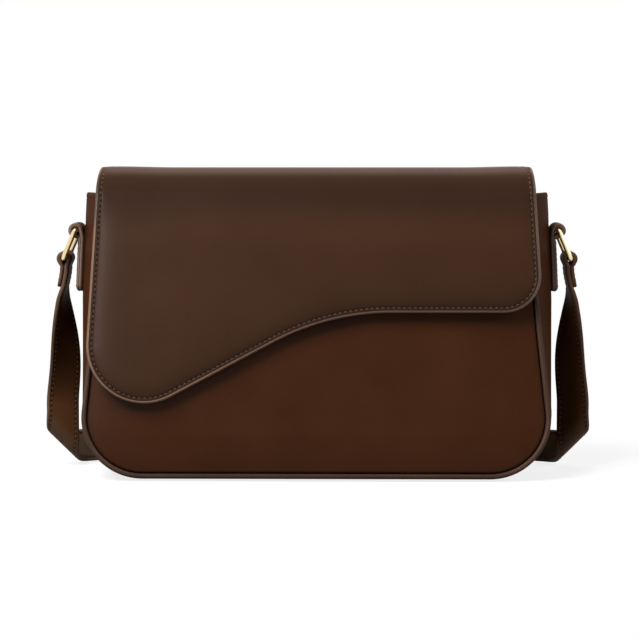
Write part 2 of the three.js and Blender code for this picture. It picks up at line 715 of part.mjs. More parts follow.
function shoulderStrap() {
  const rightEnd = toManifold(strapEnd());
  const leftEnd = rightEnd.mirror([1, 0, 0]);
  return fromManifold(toManifold(strapRun()).add(rightEnd).add(leftEnd));
}
place('shoulder_strap', shoulderStrap(), LEATHER_BROWN);

export default bag;
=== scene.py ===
# %% [markdown]
# # A small leather shoulder bag
# The bag is a stiff leather box with an S-edged flap, a flat strap and two gold rings. The packed
# CAD model gives every place and every motion, so this lesson makes only what the eye sees:
# crowned panels, rolled edges, thread, lining and finishes. Everything is in the CAD model's own
# frame.

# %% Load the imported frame
import math

import bmesh
import bpy
import numpy as np
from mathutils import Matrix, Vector


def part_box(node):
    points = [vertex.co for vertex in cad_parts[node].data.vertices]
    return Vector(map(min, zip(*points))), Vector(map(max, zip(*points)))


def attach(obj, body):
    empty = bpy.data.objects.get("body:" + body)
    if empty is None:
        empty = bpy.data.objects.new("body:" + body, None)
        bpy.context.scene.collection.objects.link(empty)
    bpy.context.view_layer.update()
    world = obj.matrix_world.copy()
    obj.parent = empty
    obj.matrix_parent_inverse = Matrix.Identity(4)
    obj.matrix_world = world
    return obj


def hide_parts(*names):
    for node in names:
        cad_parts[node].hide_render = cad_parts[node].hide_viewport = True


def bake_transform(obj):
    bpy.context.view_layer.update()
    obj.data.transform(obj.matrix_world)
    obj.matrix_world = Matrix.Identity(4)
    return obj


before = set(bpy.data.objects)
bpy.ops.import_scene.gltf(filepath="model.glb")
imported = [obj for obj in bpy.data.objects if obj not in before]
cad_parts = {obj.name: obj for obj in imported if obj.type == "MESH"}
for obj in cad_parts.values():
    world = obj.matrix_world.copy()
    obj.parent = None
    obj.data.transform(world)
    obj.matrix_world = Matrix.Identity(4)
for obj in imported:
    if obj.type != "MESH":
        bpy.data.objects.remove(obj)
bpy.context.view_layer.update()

scene = bpy.context.scene

# %% [markdown]
# ## Working in millimetres
# Bag makers think in millimetres and Blender in metres. The points of each piece are kept in
# millimetres and turned into metres once, when its mesh is made. Each point also keeps its place
# at rest as an attribute, so that the grain stays on the leather when the flap bends.

# %% Helpers that turn points into a smooth piece
MM = 0.001
LEFT, RIGHT = -1, 1


def cad(node):
    low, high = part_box(node)
    return np.array(low) / MM, np.array(high) / MM


def ease(share):
    share = np.clip(share, 0, 1)
    return share * share * (3 - 2 * share)


def note(piece, name, values):
    values = np.asarray(values, np.float32)
    single = values.ndim == 1
    layer = piece.data.attributes.new(name, "FLOAT" if single else "FLOAT_VECTOR", "POINT")
    layer.data.foreach_set("value" if single else "vector", values.ravel())


def add_object(name, data):
    made = bpy.data.objects.new(name, data)
    scene.collection.objects.link(made)
    return made


def make_piece(name, points, faces, finishes, finish_of=None, sharp=50):
    mesh = bpy.data.meshes.new(name)
    mesh.from_pydata((np.asarray(points) * MM).tolist(), [], [tuple(map(int, f)) for f in faces])
    shape = bmesh.new()
    shape.from_mesh(mesh)
    bmesh.ops.recalc_face_normals(shape, faces=shape.faces)
    shape.to_mesh(mesh)
    shape.free()
    for finish in finishes:
        mesh.materials.append(finish)
    if finish_of is not None:
        mesh.polygons.foreach_set("material_index", np.asarray(finish_of, np.int32))
    mesh.polygons.foreach_set("use_smooth", [True] * len(mesh.polygons))
    mesh.set_sharp_from_angle(angle=math.radians(sharp))
    piece = add_object(name, mesh)
    note(piece, "place", np.asarray(points) * MM)
    print(name, len(mesh.vertices), "points,", len(mesh.polygons), "faces")
    return piece


def carry(piece, body, slot, *nodes):
    """Hangs a piece on its body's empty and hides the CAD nodes it stands for; slot is not used"""
    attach(piece, body)
    if nodes:
        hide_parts(*nodes)


# %% [markdown]
# ## Camera
# The picture was taken from a little above, with a long lens about a metre away. The numbers come
# from fitting the CAD model's corners to where they appear. A long lens keeps the sides parallel.

# %% Camera at the photograph's angle
LOOK_DOWN, LOOK_LEFT = 4.584, 0.884
camera_data = bpy.data.cameras.new("camera")
camera_data.lens = 118.3
camera_data.sensor_width = 36
camera = add_object("camera", camera_data)
camera.location = (0.0185, -1.1092, 0.1702)
camera.rotation_euler = (math.radians(90 - LOOK_DOWN), 0, math.radians(LOOK_LEFT))
scene.camera = camera
scene.view_settings.view_transform = "Standard"
print("camera stands", round(camera.location.length, 3), "m from the origin")

# %% [markdown]
# ## Finishes
# A finish is a small node tree. The helper below adds a node and fills its sockets, from a number
# or from another node. Numbers that are the same all over a surface go straight on the shader.


# %% Helpers for finishes
def new_finish(name, **constants):
    finish = bpy.data.materials.new(name)
    finish.use_nodes = True
    tree = finish.node_tree
    shader = tree.nodes["Principled BSDF"]
    for socket, value in constants.items():
        socket = socket.replace("_", " ").title().replace("Ior", "IOR")
        shader.inputs[socket].default_value = value
    print("finish:", name)
    return finish, tree, shader


def node(tree, kind, sockets=None, **settings):
    made = tree.nodes.new(kind)
    for setting, value in settings.items():
        setattr(made, setting, value)
    for socket, value in (sockets or {}).items():
        if isinstance(value, bpy.types.NodeSocket):
            tree.links.new(value, made.inputs[socket])
        else:
            made.inputs[socket].default_value = value
    return made


def mixed(tree, share, first, second):
    mix = node(tree, "ShaderNodeMix", {0: share, 6: first, 7: second}, data_type="RGBA")
    return mix.outputs[2]


# %% Helpers for patterns and relief
def spread(tree, value, low, high, to_low, to_high):
    sockets = {"Value": value, "From Min": low, "From Max": high,
               "To Min": to_low, "To Max": to_high}
    return node(tree, "ShaderNodeMapRange", sockets).outputs[0]


def noted(tree, name, output="Vector"):
    return node(tree, "ShaderNodeAttribute", attribute_name=name).outputs[output]


def noise(tree, where, scale, detail=3.0):
    sockets = {"Vector": where, "Scale": scale, "Detail": detail}
    return node(tree, "ShaderNodeTexNoise", sockets).outputs[0]


def bumped(tree, shader, height, strength, depth_mm):
    sockets = {"Height": height, "Strength": strength, "Distance": depth_mm * MM}
    bump = node(tree, "ShaderNodeBump", sockets)
    for normal in ("Normal", "Coat Normal"):
        tree.links.new(bump.outputs[0], shader.inputs[normal])


def calculate(tree, operation, first, second):
    return node(tree, "ShaderNodeMath", {0: first, 1: second}, operation=operation).outputs[0]


def sum_of(tree, first, second, weight=1.0):
    return calculate(tree, "ADD", first, calculate(tree, "MULTIPLY", second, weight))


# %% [markdown]
# ### Leather
# The hide is a smooth calf with a satin finish: deep brown, slightly clouded, with a grain of
# about half a millimetre that shows only close to. The grain is a Voronoi pattern used as a bump.
# The gloss is a thin coat of wax over a matt hide, which keeps the brown deep where it is seen
# square on and lets it shine at a slant. One attribute on each piece mixes in a dark brown as
# painted shade: in the stitch grooves and seams, beside the tabs, along the base piping and round
# the flap's bends. Another lightens the colour as a painted highlight: a sheen on the strap round
# its folds and behind them, and the painted edge round the lobe.

# %% Leather finishes
# Dark brown mixed in as painted shade; tan mixed in as a painted sheen on the strap's folds
PAINTED_SHADE_BROWN, HIGHLIGHT_TAN = (0.012, 0.005, 0.003, 1), (0.27, 0.178, 0.112, 1)
# Light edge paint mixed in as a painted highlight on the flap's edge round the lobe
EDGE_HIGHLIGHT_PAINT = (0.24, 0.128, 0.065, 1)
CLOUDS, FLECKS, PORES = 26, 700, 2600


def leather_finish(name, deep, light, satin, wax, grain_mm=0.55, relief_mm=0.05,
                   painted_highlight=HIGHLIGHT_TAN, **more):
    finish, tree, shader = new_finish(name, specular_ior_level=0, coat_weight=wax,
                                      coat_roughness=satin, **more)
    place = noted(tree, "place")
    clouds, flecks = noise(tree, place, CLOUDS), noise(tree, place, FLECKS, 2.0)
    share = spread(tree, sum_of(tree, clouds, flecks, 0.35), 0.45, 0.9, 0, 1)
    colour = mixed(tree, share, (*deep, 1), (*light, 1))
    # Painted highlight, then painted shade, mixed over the leather's own colour by two attributes
    colour = mixed(tree, noted(tree, "painted_light", "Fac"), colour, painted_highlight)
    colour = mixed(tree, noted(tree, "painted_shade", "Fac"), colour, PAINTED_SHADE_BROWN)
    tree.links.new(colour, shader.inputs["Base Color"])
    gloss = spread(tree, flecks, 0.3, 0.7, satin - 0.05, satin + 0.05)
    tree.links.new(gloss, shader.inputs["Roughness"])
    cells = node(tree, "ShaderNodeTexVoronoi", {"Vector": place, "Scale": 1 / (grain_mm * MM)})
    grain = sum_of(tree, cells.outputs["Distance"], noise(tree, place, PORES, 2.0), 0.6)
    bumped(tree, shader, grain, 0.35, relief_mm)
    return finish


body_hide = leather_finish(
    "body_hide", (0.0415, 0.0129, 0.0043), (0.0515, 0.0169, 0.0061),
    satin=0.45, wax=0.16, coat_ior=1.4)
# The strap is the same hide as the body, painted lighter to make up for the shade it hangs in
strap_hide_painted_lighter = leather_finish(
    "strap_hide_painted_lighter", (0.077, 0.03, 0.0111), (0.096, 0.039, 0.0157),
    satin=0.45, wax=0.3, coat_ior=1.2)
flap_hide = leather_finish(
    "flap_hide", (0.0368, 0.0137, 0.0053), (0.0456, 0.018, 0.0077),
    satin=0.43, wax=0.72, coat_ior=1.25)
split = leather_finish(
    "split_leather", (0.07, 0.032, 0.018), (0.1, 0.05, 0.03),
    satin=0.85, wax=0.02, grain_mm=0.35, relief_mm=0.09, sheen_weight=0.25, sheen_roughness=0.5)
flesh_side = leather_finish(
    "flesh_side", (0.1, 0.056, 0.032), (0.13, 0.077, 0.046),
    satin=0.8, wax=0.05, grain_mm=0.4, relief_mm=0.08)
edge_paint = leather_finish(
    "painted_edge", (0.081, 0.039, 0.0222), (0.124, 0.064, 0.038),
    satin=0.4, wax=0.7, grain_mm=0.9, relief_mm=0.04, painted_highlight=EDGE_HIGHLIGHT_PAINT)
strap_edge = leather_finish(
    "strap_edge", (0.08, 0.039, 0.0222), (0.12, 0.063, 0.0375),
    satin=0.45, wax=0.2, grain_mm=0.9, relief_mm=0.04)
cord_hide = leather_finish(
    "wrapped_cord", (0.05, 0.025, 0.015), (0.074, 0.04, 0.026),
    satin=0.38, wax=0.2, grain_mm=0.7, relief_mm=0.04)

# %% [markdown]
# ### Thread, lining, board and gold
# Thread is two plies twisted together, which diagonal bands along each stitch show. The lining is
# a tan twill: diagonal ribs crossed by fine yarns, drawn on the cloth's own flat coordinates. Gold
# plating is a metal with faint polishing marks, and the stiffening board is flecked fibre.


# %% Thread, lining, board and gold finishes
def bands(tree, where, scale, direction):
    return node(tree, "ShaderNodeTexWave", {"Vector": where, "Scale": scale},
                bands_direction=direction).outputs[1]


def own_place(tree):
    return node(tree, "ShaderNodeTexCoord").outputs["Object"]


def coloured(tree, shader, share, dark, light):
    tree.links.new(mixed(tree, share, (*dark, 1), (*light, 1)), shader.inputs["Base Color"])


thread, tree, shader = new_finish("waxed_thread", roughness=0.55, specular_ior_level=0.2)
twist = bands(tree, noted(tree, "lay"), 1.1, "DIAGONAL")
coloured(tree, shader, twist, (0.05, 0.0225, 0.0085), (0.135, 0.066, 0.027))
bumped(tree, shader, twist, 0.5, 0.08)

twill, tree, shader = new_finish("tan_twill", roughness=0.88, specular_ior_level=0.15,
                                 sheen_weight=0.2)
lay = noted(tree, "lay")
cloth = sum_of(tree, bands(tree, lay, 420, "DIAGONAL"), bands(tree, lay, 560, "X"), 0.4)
share = spread(tree, sum_of(tree, cloth, noise(tree, lay, 160)), 0.3, 1.9, 0, 1)
coloured(tree, shader, share, (0.115, 0.074, 0.042), (0.23, 0.155, 0.094))
bumped(tree, shader, cloth, 0.4, 0.15)

board, tree, shader = new_finish("fibre_board", roughness=0.95, specular_ior_level=0.1)
fibres = noise(tree, own_place(tree), 900, 6.0)
coloured(tree, shader, fibres, (0.16, 0.13, 0.1), (0.36, 0.31, 0.25))
bumped(tree, shader, fibres, 0.4, 0.1)

gold, tree, shader = new_finish("pale_gold", metallic=1.0)
marks = noise(tree, own_place(tree), 420, 4.0)
coloured(tree, shader, marks, (0.84, 0.67, 0.37), (0.93, 0.77, 0.47))
tree.links.new(spread(tree, marks, 0.3, 0.7, 0.3, 0.4), shader.inputs["Roughness"])
bumped(tree, shader, marks, 0.05, 0.01)

# %% [markdown]
# ## Cut pieces of leather
# Panels, linings and the flap are cut flat with a straight top, two sides and a rounded lower
# edge. A grid that follows the cut edge is needed, because the rolled edge, the crease and the
# stitch groove all run along it. So rings at set distances follow the edge, and rows of quads fill
# the middle. The flat layout is then lifted into space twice, for the outer and the inner face.


# %% Helpers for paths
def unit(vectors):
    return vectors / np.linalg.norm(vectors, axis=-1, keepdims=True)


def run_along(path):
    return np.r_[0, np.cumsum(np.linalg.norm(np.diff(path, axis=0), axis=1))]


def places_at(wanted, run, values):
    return np.stack([np.interp(wanted, run, column) for column in values.T], -1)


def resample(points, steps):
    points = np.asarray(points, float)
    run = run_along(points)
    return places_at(np.linspace(0, run[-1], steps + 1), run, points)


def arc(centre, radius, start, end, steps=40):
    angles = np.radians(np.linspace(start, end, steps + 1))
    return np.stack([centre[0] + radius * np.cos(angles), centre[1] + radius * np.sin(angles)], 1)


# %% Helpers that lay out a cut piece
def cut_outline(half_width, rows, left, low, right, side_steps, low_steps):
    """Joins straight sides at the given rows to a curved lower edge, from top left to top right"""
    left_top = np.array([[-half_width(row), row] for row in rows])
    right_top = left_top[::-1] * (-1, 1)
    curves = [resample(curve, steps)[1:] for curve, steps in
              ((left, side_steps), (low, low_steps), (right, side_steps))]
    return np.vstack([left_top, *curves, right_top[1:]])


def lay_out(outline, upper, side, insets):
    """Quads inside an outline: rings along its free edge, and rows that cross it"""
    steps, rings = len(outline) - 1, len(insets)
    across = steps - 2 * side
    tangent = unit(np.gradient(outline, axis=0))
    inward = np.stack([-tangent[:, 1], tangent[:, 0]], 1)
    for sign, rows in ((1, slice(0, upper + 1)), (-1, slice(steps - upper, None))):
        inward[rows] = np.stack([sign / np.abs(tangent[rows, 1]), 0 * tangent[rows, 1]], 1)
    ring = outline + np.asarray(insets)[:, None, None] * inward
    left, right = ring[-1][:side + 1], ring[-1][::-1][:side + 1]
    low = ring[-1][side:steps - side + 1]
    share = np.linspace(0, 1, across + 1)[:, None]
    level = np.clip((np.arange(side + 1) - upper) / (side - upper), 0, 1)[:, None, None]
    patch = left[:, None] * (1 - share) + right[:, None] * share
    patch = patch + level * (low - (left[side] * (1 - share) + right[side] * share))
    first = (rings - 1) * (steps + 1)
    index = np.zeros((side + 1, across + 1), int)
    index[:side, 1:-1] = rings * (steps + 1) + np.arange(side * (across - 1)).reshape(side, -1)
    index[:, 0] = first + np.arange(side + 1)
    index[:, -1] = first + steps - np.arange(side + 1)
    index[side] = first + side + np.arange(across + 1)
    ring_index = np.arange(rings * (steps + 1)).reshape(rings, -1)
    quads = np.vstack([quads_of(ring_index), quads_of(index)])
    flat = np.vstack([ring.reshape(-1, 2), patch[:side, 1:-1].reshape(-1, 2)])
    inner = flat[rings * (steps + 1):]
    nearest = np.array([np.sqrt(((outline - p) ** 2).sum(1).min()) for p in inner])
    edge = np.r_[np.repeat(insets, steps + 1), nearest]
    border = [*ring_index[0], *ring_index[1:, -1], *index[0, -2:0:-1], *ring_index[:0:-1, 0]]
    return {"flat": flat, "edge": edge, "quads": quads, "border": border,
            "path": lambda inset: outline + inset * inward}


def quads_of(index):
    corners = [index[:-1, :-1], index[1:, :-1], index[1:, 1:], index[:-1, 1:]]
    return np.stack(corners, -1).reshape(-1, 4)


def closed_sheet(outer, inner, layout):
    """Points and faces of a sheet: an outer and an inner face, joined round the border"""
    quads, border, count = layout["quads"], layout["border"], len(outer)
    around = [(b, a, count + a, count + b) for a, b in zip(border, border[1:] + border[:1])]
    return np.vstack([outer, inner]), [*quads, *(count + quads[:, ::-1]), *around]


# %% [markdown]
# ## The seam line
# Both panels and the gusset are sewn together along one line: straight sides that lean in towards
# the mouth, round lower corners and a level base. Its sizes are those of the CAD source. The panel
# edges lie a little inside it, and the piping runs along it.

# %% Sizes of the seam line
CORNER_X, CORNER_Z, CORNER_RADIUS = 90, 32.4, 30
SIDE_LEAN = math.radians(6.7)
SEAM_RISE = 2.4
LEATHER = 1.8
mouth = cad("back_panel")[1][2]


def seam_half(z, inset=0):
    run = CORNER_RADIUS - inset - (z - CORNER_Z) * math.sin(SIDE_LEAN)
    return CORNER_X + run / math.cos(SIDE_LEAN)


def seam_layout(rows, inset, insets, side_steps=26, low_steps=90):
    """Layout of a panel whose straight rows are given from its top down"""
    radius, lean = CORNER_RADIUS - inset, math.degrees(SIDE_LEAN)
    corner, start = (-CORNER_X, CORNER_Z), (-seam_half(rows[-1], inset), rows[-1])
    left = np.vstack([start, arc(corner, radius, 180 - lean, 225)])
    half_low = arc(corner, radius, 225, 270)
    low = np.vstack([half_low, half_low[::-1] * (-1, 1)])
    outline = cut_outline(lambda z: seam_half(z, inset), rows, left, low,
                          left[::-1] * (-1, 1), side_steps, low_steps)
    upper = len(rows) - 1
    return lay_out(outline, upper, upper + side_steps, insets)


print("seam is", round(2 * seam_half(mouth), 1), "mm wide at the mouth")

# %% [markdown]
# ## Front and back panels
# Each panel is leather drawn over a board, so it is slightly crowned: it rises over some 30 mm
# from the seam and dips at the piping. A flat plate would catch the light as one tone, so the
# crown comes from real geometry. The snap clamps the front panel, and the flap is sewn on the back
# panel, so the crown fades out there. The front panel's top edge is turned and stitched.

# %% Front and back panels
PANEL_INSET, STRAIGHT_LOW = 1.7, 60
PANEL_INSETS = [0, 0.25, 0.6, 1.1, 1.8, 2.8, 4.2, 6.5, 10, 15]
MOUTH_STITCH = 3.6
SNAP, SNAP_CLAMP, SNAP_FADE = np.array([-76.15, 70.4]), 8.5, 16
ANCHOR_LOW, ANCHOR_MARGIN = cad("flap_anchor")[0][2], 12
FRONT_CROWN, BACK_CROWN, BACK_MORE = 2.1, 0.65, 0.75
CROWN_DROP, CROWN_RUN, ANCHOR_FADE = 2, 75, 30
front_low, front_high = cad("front_panel")


def panel_rows(top):
    near = [0, 0.2, 0.5, 1, 1.8, 2.6, 3.1, MOUTH_STITCH, 4.1, 4.8, 6.5, 9]
    return [top - drop for drop in near] + list(np.linspace(top - 12, STRAIGHT_LOW, 34))


def panel_rise(edge, drop, crown):
    """Rolled edge, turned and stitched hem, and the crown that grows from the seam"""
    roll = np.interp(edge, PANEL_INSETS[:5], [-1.1, -0.62, -0.28, -0.08, 0])
    hem = np.interp(drop, [0, 0.2, 0.5, 1, 2.6, 3.1, MOUTH_STITCH, 4.1, 4.8],
                    [-0.75, -0.4, -0.15, 0, 0, -0.1, -0.3, -0.1, 0])
    swell = np.interp(edge, [1.8, 5, 10, 20, 35, 60], [0, 0.25, 0.52, 0.82, 1, 1.06])
    return roll + hem + crown * swell


def make_panel(node_name, outward, crown_at):
    low, high = cad(node_name)
    back, face = sorted(np.abs([low[1], high[1]]))
    layout = seam_layout(panel_rows(high[2]), PANEL_INSET, PANEL_INSETS)
    x, z = layout["flat"].T
    edge, drop = layout["edge"], high[2] - z
    outer = face + panel_rise(edge, drop, crown_at(x, z))
    sides = [np.stack([x, outward * y, z], 1) for y in (outer, np.full_like(outer, back))]
    points, faces = closed_sheet(*sides, layout)
    on_split = np.arange(len(faces)) >= len(layout["quads"])
    panel = make_piece(node_name + "_leather", points, faces, [body_hide, split], on_split)
    # Painted shade: darker in the groove at the piping and along the mouth's stitch line
    painted_shade = np.interp(edge, [0, 0.6, 2.4], [0.9, 0.5, 0])
    painted_shade = np.maximum(painted_shade, np.interp(drop, [3, MOUTH_STITCH, 4.2], [0, 0.6, 0]))
    note(panel, "painted_shade", np.r_[painted_shade, 0 * painted_shade])
    carry(panel, "bag_body", "leather", node_name)


def front_crown(x, z):
    clamped = ease((np.hypot(x - SNAP[0], z - SNAP[1]) - SNAP_CLAMP) / SNAP_FADE)
    return FRONT_CROWN * clamped * ease((front_high[2] - CROWN_DROP - z) / CROWN_RUN)


def back_crown(x, z):
    return BACK_CROWN + BACK_MORE * ease((ANCHOR_LOW - ANCHOR_MARGIN - z) / ANCHOR_FADE)


make_panel("front_panel", -1, front_crown)
make_panel("back_panel", 1, back_crown)

# %% [markdown]
# ## Gusset
# One long strip of leather makes the sides and the base. It stands out in a soft curve between the
# two seams, lies flat on the base, and has a folded hem at each end of the mouth. It is pressed
# flat where the strap tabs are sewn on. The strip is a grid of stations along the seam and columns
# across.

# %% Stations along the seam
SIDE_SPREAD, MOUTH_SPREAD, SPREAD_DROP = 4, 1.5, 52
BASE_FLAT, FAR = 0.82, 99


def gusset_half(z):
    share = np.clip((z - (mouth - SPREAD_DROP)) / SPREAD_DROP, 0, None)
    return CORNER_X + CORNER_RADIUS + SIDE_SPREAD + (MOUTH_SPREAD - SIDE_SPREAD) * share


def seam_stations(top_drops, top):
    """Rows of x, z, angle, how far the gusset stands out, how flat it is, distance below the top"""
    tangent_z = CORNER_Z + CORNER_RADIUS * math.sin(SIDE_LEAN)

    def bulge(z):
        return (gusset_half(z) - seam_half(z)) * math.cos(SIDE_LEAN)

    right = [(x, SEAM_RISE, -math.pi / 2, SEAM_RISE, 1, FAR)
             for x in np.linspace(0, CORNER_X, 19)[:-1]]
    for share in np.linspace(0, 1, 25)[:-1]:
        angle = -math.pi / 2 + share * (math.pi / 2 + SIDE_LEAN)
        x = CORNER_X + CORNER_RADIUS * math.cos(angle)
        z = CORNER_Z + CORNER_RADIUS * math.sin(angle)
        stand = SEAM_RISE + (bulge(tangent_z) - SEAM_RISE) * ease(share)
        right.append((x, z, angle, stand, 1 - ease(share), FAR))
    low_rows = np.linspace(tangent_z, top - max(top_drops) - 2, 34)
    for z in [*low_rows, *(top - drop for drop in sorted(top_drops)[::-1])]:
        reach = min(z, top)
        right.append((seam_half(reach), z, SIDE_LEAN, bulge(reach), 0, top - z))
    left = [(-x, z, math.pi - angle, *rest) for x, z, angle, *rest in right[:0:-1]]
    return np.array([*left, *right])


# %% Gusset
HEM_DROPS = [0, 0.15, 0.4, 0.8, 1.6, 2.2, 2.6, 3, 3.4, 4, 5.5, 8]
HEM_RISE = [-0.9, -0.55, -0.25, -0.08, 0.06, 0.1, 0.04, -0.16, -0.05, 0]
TAB_HALF, TAB_IN, TAB_PRESS, PRESS_MARGIN = 9, 0.9, 0.22, 3
MOUTH_DIP, DIP_FRONT, DIP_SLOPE = 14, 0.5, 0.7
tab_low, tab_high = cad("right_tab")
gusset_reach = cad("gusset")[1][1]


def depth_columns(count):
    return np.sin(np.linspace(-1, 1, count) * math.pi / 2)


def gusset_face(stations, columns, half_depth, inset, pressed=True):
    x, z, angle, stand, flat, drop = (stations[:, [k]] for k in range(6))
    flat_base = np.minimum(1, (1 - np.abs(columns)) / (1 - BASE_FLAT))
    out = stand * ((1 - columns ** 2) * (1 - flat) + flat_base * flat)
    if pressed:
        under = ease((TAB_HALF + PRESS_MARGIN - np.abs(columns * half_depth)) / 2.4)
        under = under * ease((z - tab_low[2] + PRESS_MARGIN) / PRESS_MARGIN)
        under = under * ease((tab_high[2] - z) / PRESS_MARGIN)
        out = out + (stand + TAB_PRESS - TAB_IN - out) * under * (1 - flat)
    if inset == 0:
        roll = np.interp(np.abs(columns), [0.94, 0.975, 1], [0, -0.12, -0.7])
        out = out + roll + np.interp(drop, HEM_DROPS[:10], HEM_RISE)
    out = out - inset
    dip = DIP_FRONT + DIP_SLOPE * (1 + columns)
    dip = ease((z - mouth + MOUTH_DIP) / MOUTH_DIP) * dip
    x, z = x + out * np.cos(angle), z + out * np.sin(angle) - dip
    return np.stack([x, columns * half_depth + 0 * x, z], -1)


def grid_sheet(outer, inner):
    index = np.arange(outer.shape[0] * outer.shape[1]).reshape(outer.shape[:2])
    border = [*index[0], *index[1:, -1], *index[-1, -2::-1], *index[-2:0:-1, 0]]
    layout = {"quads": quads_of(index), "border": border}
    return closed_sheet(outer.reshape(-1, 3), inner.reshape(-1, 3), layout)


columns, stations = depth_columns(49), seam_stations(HEM_DROPS, mouth)
points, faces = grid_sheet(*(gusset_face(stations, columns, gusset_reach, inset)
                             for inset in (0, LEATHER)))
gusset = make_piece("gusset_leather", points, faces, [body_hide])
height = stations[:, [1]]
# Painted shade on the gusset beside each tab, along the hem's stitch line and into the seams
tab_shade = ease((TAB_HALF + 6 - np.abs(columns * gusset_reach)) / 5) * (stations[:, [4]] == 0)
tab_shade = tab_shade * ease((height - tab_low[2] + 4) / 4) * ease((tab_high[2] + 2 - height) / 4)
hem_shade = np.interp(stations[:, [5]], [2.4, 3, 3.6], [0, 0.35, 0])
seam_shade = np.interp(np.abs(columns), [0.95, 1], [0, 0.8])
painted_shade = np.maximum(np.maximum(hem_shade, 0.85 * tab_shade), seam_shade)
note(gusset, "painted_shade", np.r_[painted_shade.ravel(), np.zeros(painted_shade.size)])
carry(gusset, "bag_body", "leather", "gusset")

# %% [markdown]
# ## Piping
# A thin cord wrapped in leather is caught in each seam, and its round back catches a line of
# light. It is a tube swept along the seam with rounded ends. The ring wire later uses the same
# sweep, since both follow a flat path: the ring of points only has to turn about the path's plane.

# %% Piping along both seams
PIPING_RADIUS = 1.4


def tube_faces(index, closed=False):
    """Faces round a tube whose rows are rings of points; its ends are capped or joined"""
    index = np.c_[index, index[:, :1]]
    if closed:
        return [*quads_of(np.r_[index, index[:1]])]
    return [*quads_of(index), index[0, :-1], index[-1, -2::-1]]


def swept_tube(path, plane, radii, sides, closed=False):
    ahead = np.roll(path, -1, 0) - np.roll(path, 1, 0) if closed else np.gradient(path, axis=0)
    side = np.cross(plane, unit(ahead))
    around = np.linspace(0, 2 * math.pi, sides, endpoint=False)[:, None]
    circle = np.cos(around) * side[:, None] + np.sin(around) * np.asarray(plane, float)
    points = path[:, None] + circle * np.broadcast_to(radii, len(path))[:, None, None]
    index = np.arange(len(path) * sides).reshape(-1, sides)
    return points.reshape(-1, 3), tube_faces(index, closed)


def rounded_ends(path, radius):
    """The path with short steps beyond both ends, and radii that round them off"""
    swing = np.radians([80, 55, 30])
    head = path[0] + radius * np.sin(swing)[:, None] * unit(path[0] - path[1])
    tail = path[-1] + radius * np.sin(swing[::-1])[:, None] * unit(path[-1] - path[-2])
    radii = np.r_[radius * np.cos(swing), [radius] * len(path), radius * np.cos(swing[::-1])]
    return np.vstack([head, path, tail]), radii


for name in ("front_piping", "back_piping"):
    low, high = cad(name)
    depth = (low[1] + high[1]) / 2
    top = front_high[2] if depth < 0 else mouth
    seam = seam_stations([0, 3, 6], top - PIPING_RADIUS)
    path = np.stack([seam[:, 0], np.full(len(seam), depth), seam[:, 1]], 1)
    path, radii = rounded_ends(path, PIPING_RADIUS)
    points, faces = swept_tube(path, (0, 1, 0), radii, 16)
    cord = make_piece(name + "_cord", points, faces, [cord_hide])
    # Painted shade: the cord darkens towards the base, where it turns under
    note(cord, "painted_shade", 0.6 * ease((7 - points[:, 2]) / 6))
    carry(cord, "bag_body", "leather_edge", name)

# %% [markdown]
# ## Lining and pocket
# The bag is lined with twill. Each lining piece is sewn in with its top turned over the board, so
# no raw edge shows at the mouth. The turned edge is part of the flat layout: rows above the fold
# go round a small radius and then lie level. A slip pocket gapes a little, as cloth does at an
# open edge.

# %% Lining of the panels
CLOTH, TURN = 0.6, 0.9
LINING_EDGE, LINING_INSETS = 2.1, [0, 0.5, 1.5, 4, 9, 16]


def turn_over(above, hidden):
    """How far out and how high a point above the fold lies, on the seen or the hidden face"""
    radius = TURN - CLOTH * hidden
    angle = np.clip(above / TURN, 0, math.pi / 2)
    out = TURN - radius * np.cos(angle) + np.clip(above - TURN * math.pi / 2, 0, None)
    return out, np.minimum(above, 0) + radius * np.sin(angle)


def finish_lining(piece, flat, node_name):
    note(piece, "lay", np.c_[np.vstack([flat, flat]) * MM, np.zeros(2 * len(flat))])
    carry(piece, "bag_body", "lining", node_name)


for name, outward in (("front_lining", -1), ("back_lining", 1)):
    low, high = cad(name)
    seen, top = min(abs(low[1]), abs(high[1])), high[2]
    rows = [top + above for above in (2.4, 1.9, 1.45, 1.1, 0.7, 0.35, 0)]
    rows += list(np.linspace(top - 1, STRAIGHT_LOW, 26))
    layout = seam_layout(rows, LINING_EDGE, LINING_INSETS, 20, 60)
    x, z = layout["flat"].T
    sides = []
    for hidden in (0, 1):
        out, rise = turn_over(z - top, hidden)
        sides.append(np.stack([x, outward * (seen + out), top + rise], 1))
    points, faces = closed_sheet(*sides, layout)
    lining = make_piece(name + "_cloth", points, faces, [twill])
    finish_lining(lining, layout["flat"], name)

# %% Lining of the gusset
LINING_INSET = 3.4
low, high = cad("gusset_lining")
stations = seam_stations([-2.6, -2.1, -1.5, -1.1, -0.7, -0.35, 0, 1, 3, 6], high[2])
columns, angle, drop = depth_columns(33), stations[:, 2], stations[:, 5]
outward = np.stack([np.cos(angle), 0 * angle, np.sin(angle)], 1)
sides = []
for hidden in (0, 1):
    out, rise = turn_over(-drop, hidden)
    folded = stations.copy()
    folded[:, 1] += rise + drop
    shell = gusset_face(folded, columns, high[1], LINING_INSET + CLOTH, pressed=False)
    sides.append(shell + (out[:, None] * outward)[:, None])
points, faces = grid_sheet(*sides)
run = run_along(stations[:, :2])
flat = np.stack(np.meshgrid(run, columns * high[1], indexing="ij"), -1).reshape(-1, 2)
lining = make_piece("gusset_lining_cloth", points, faces, [twill])
finish_lining(lining, flat, "gusset_lining")

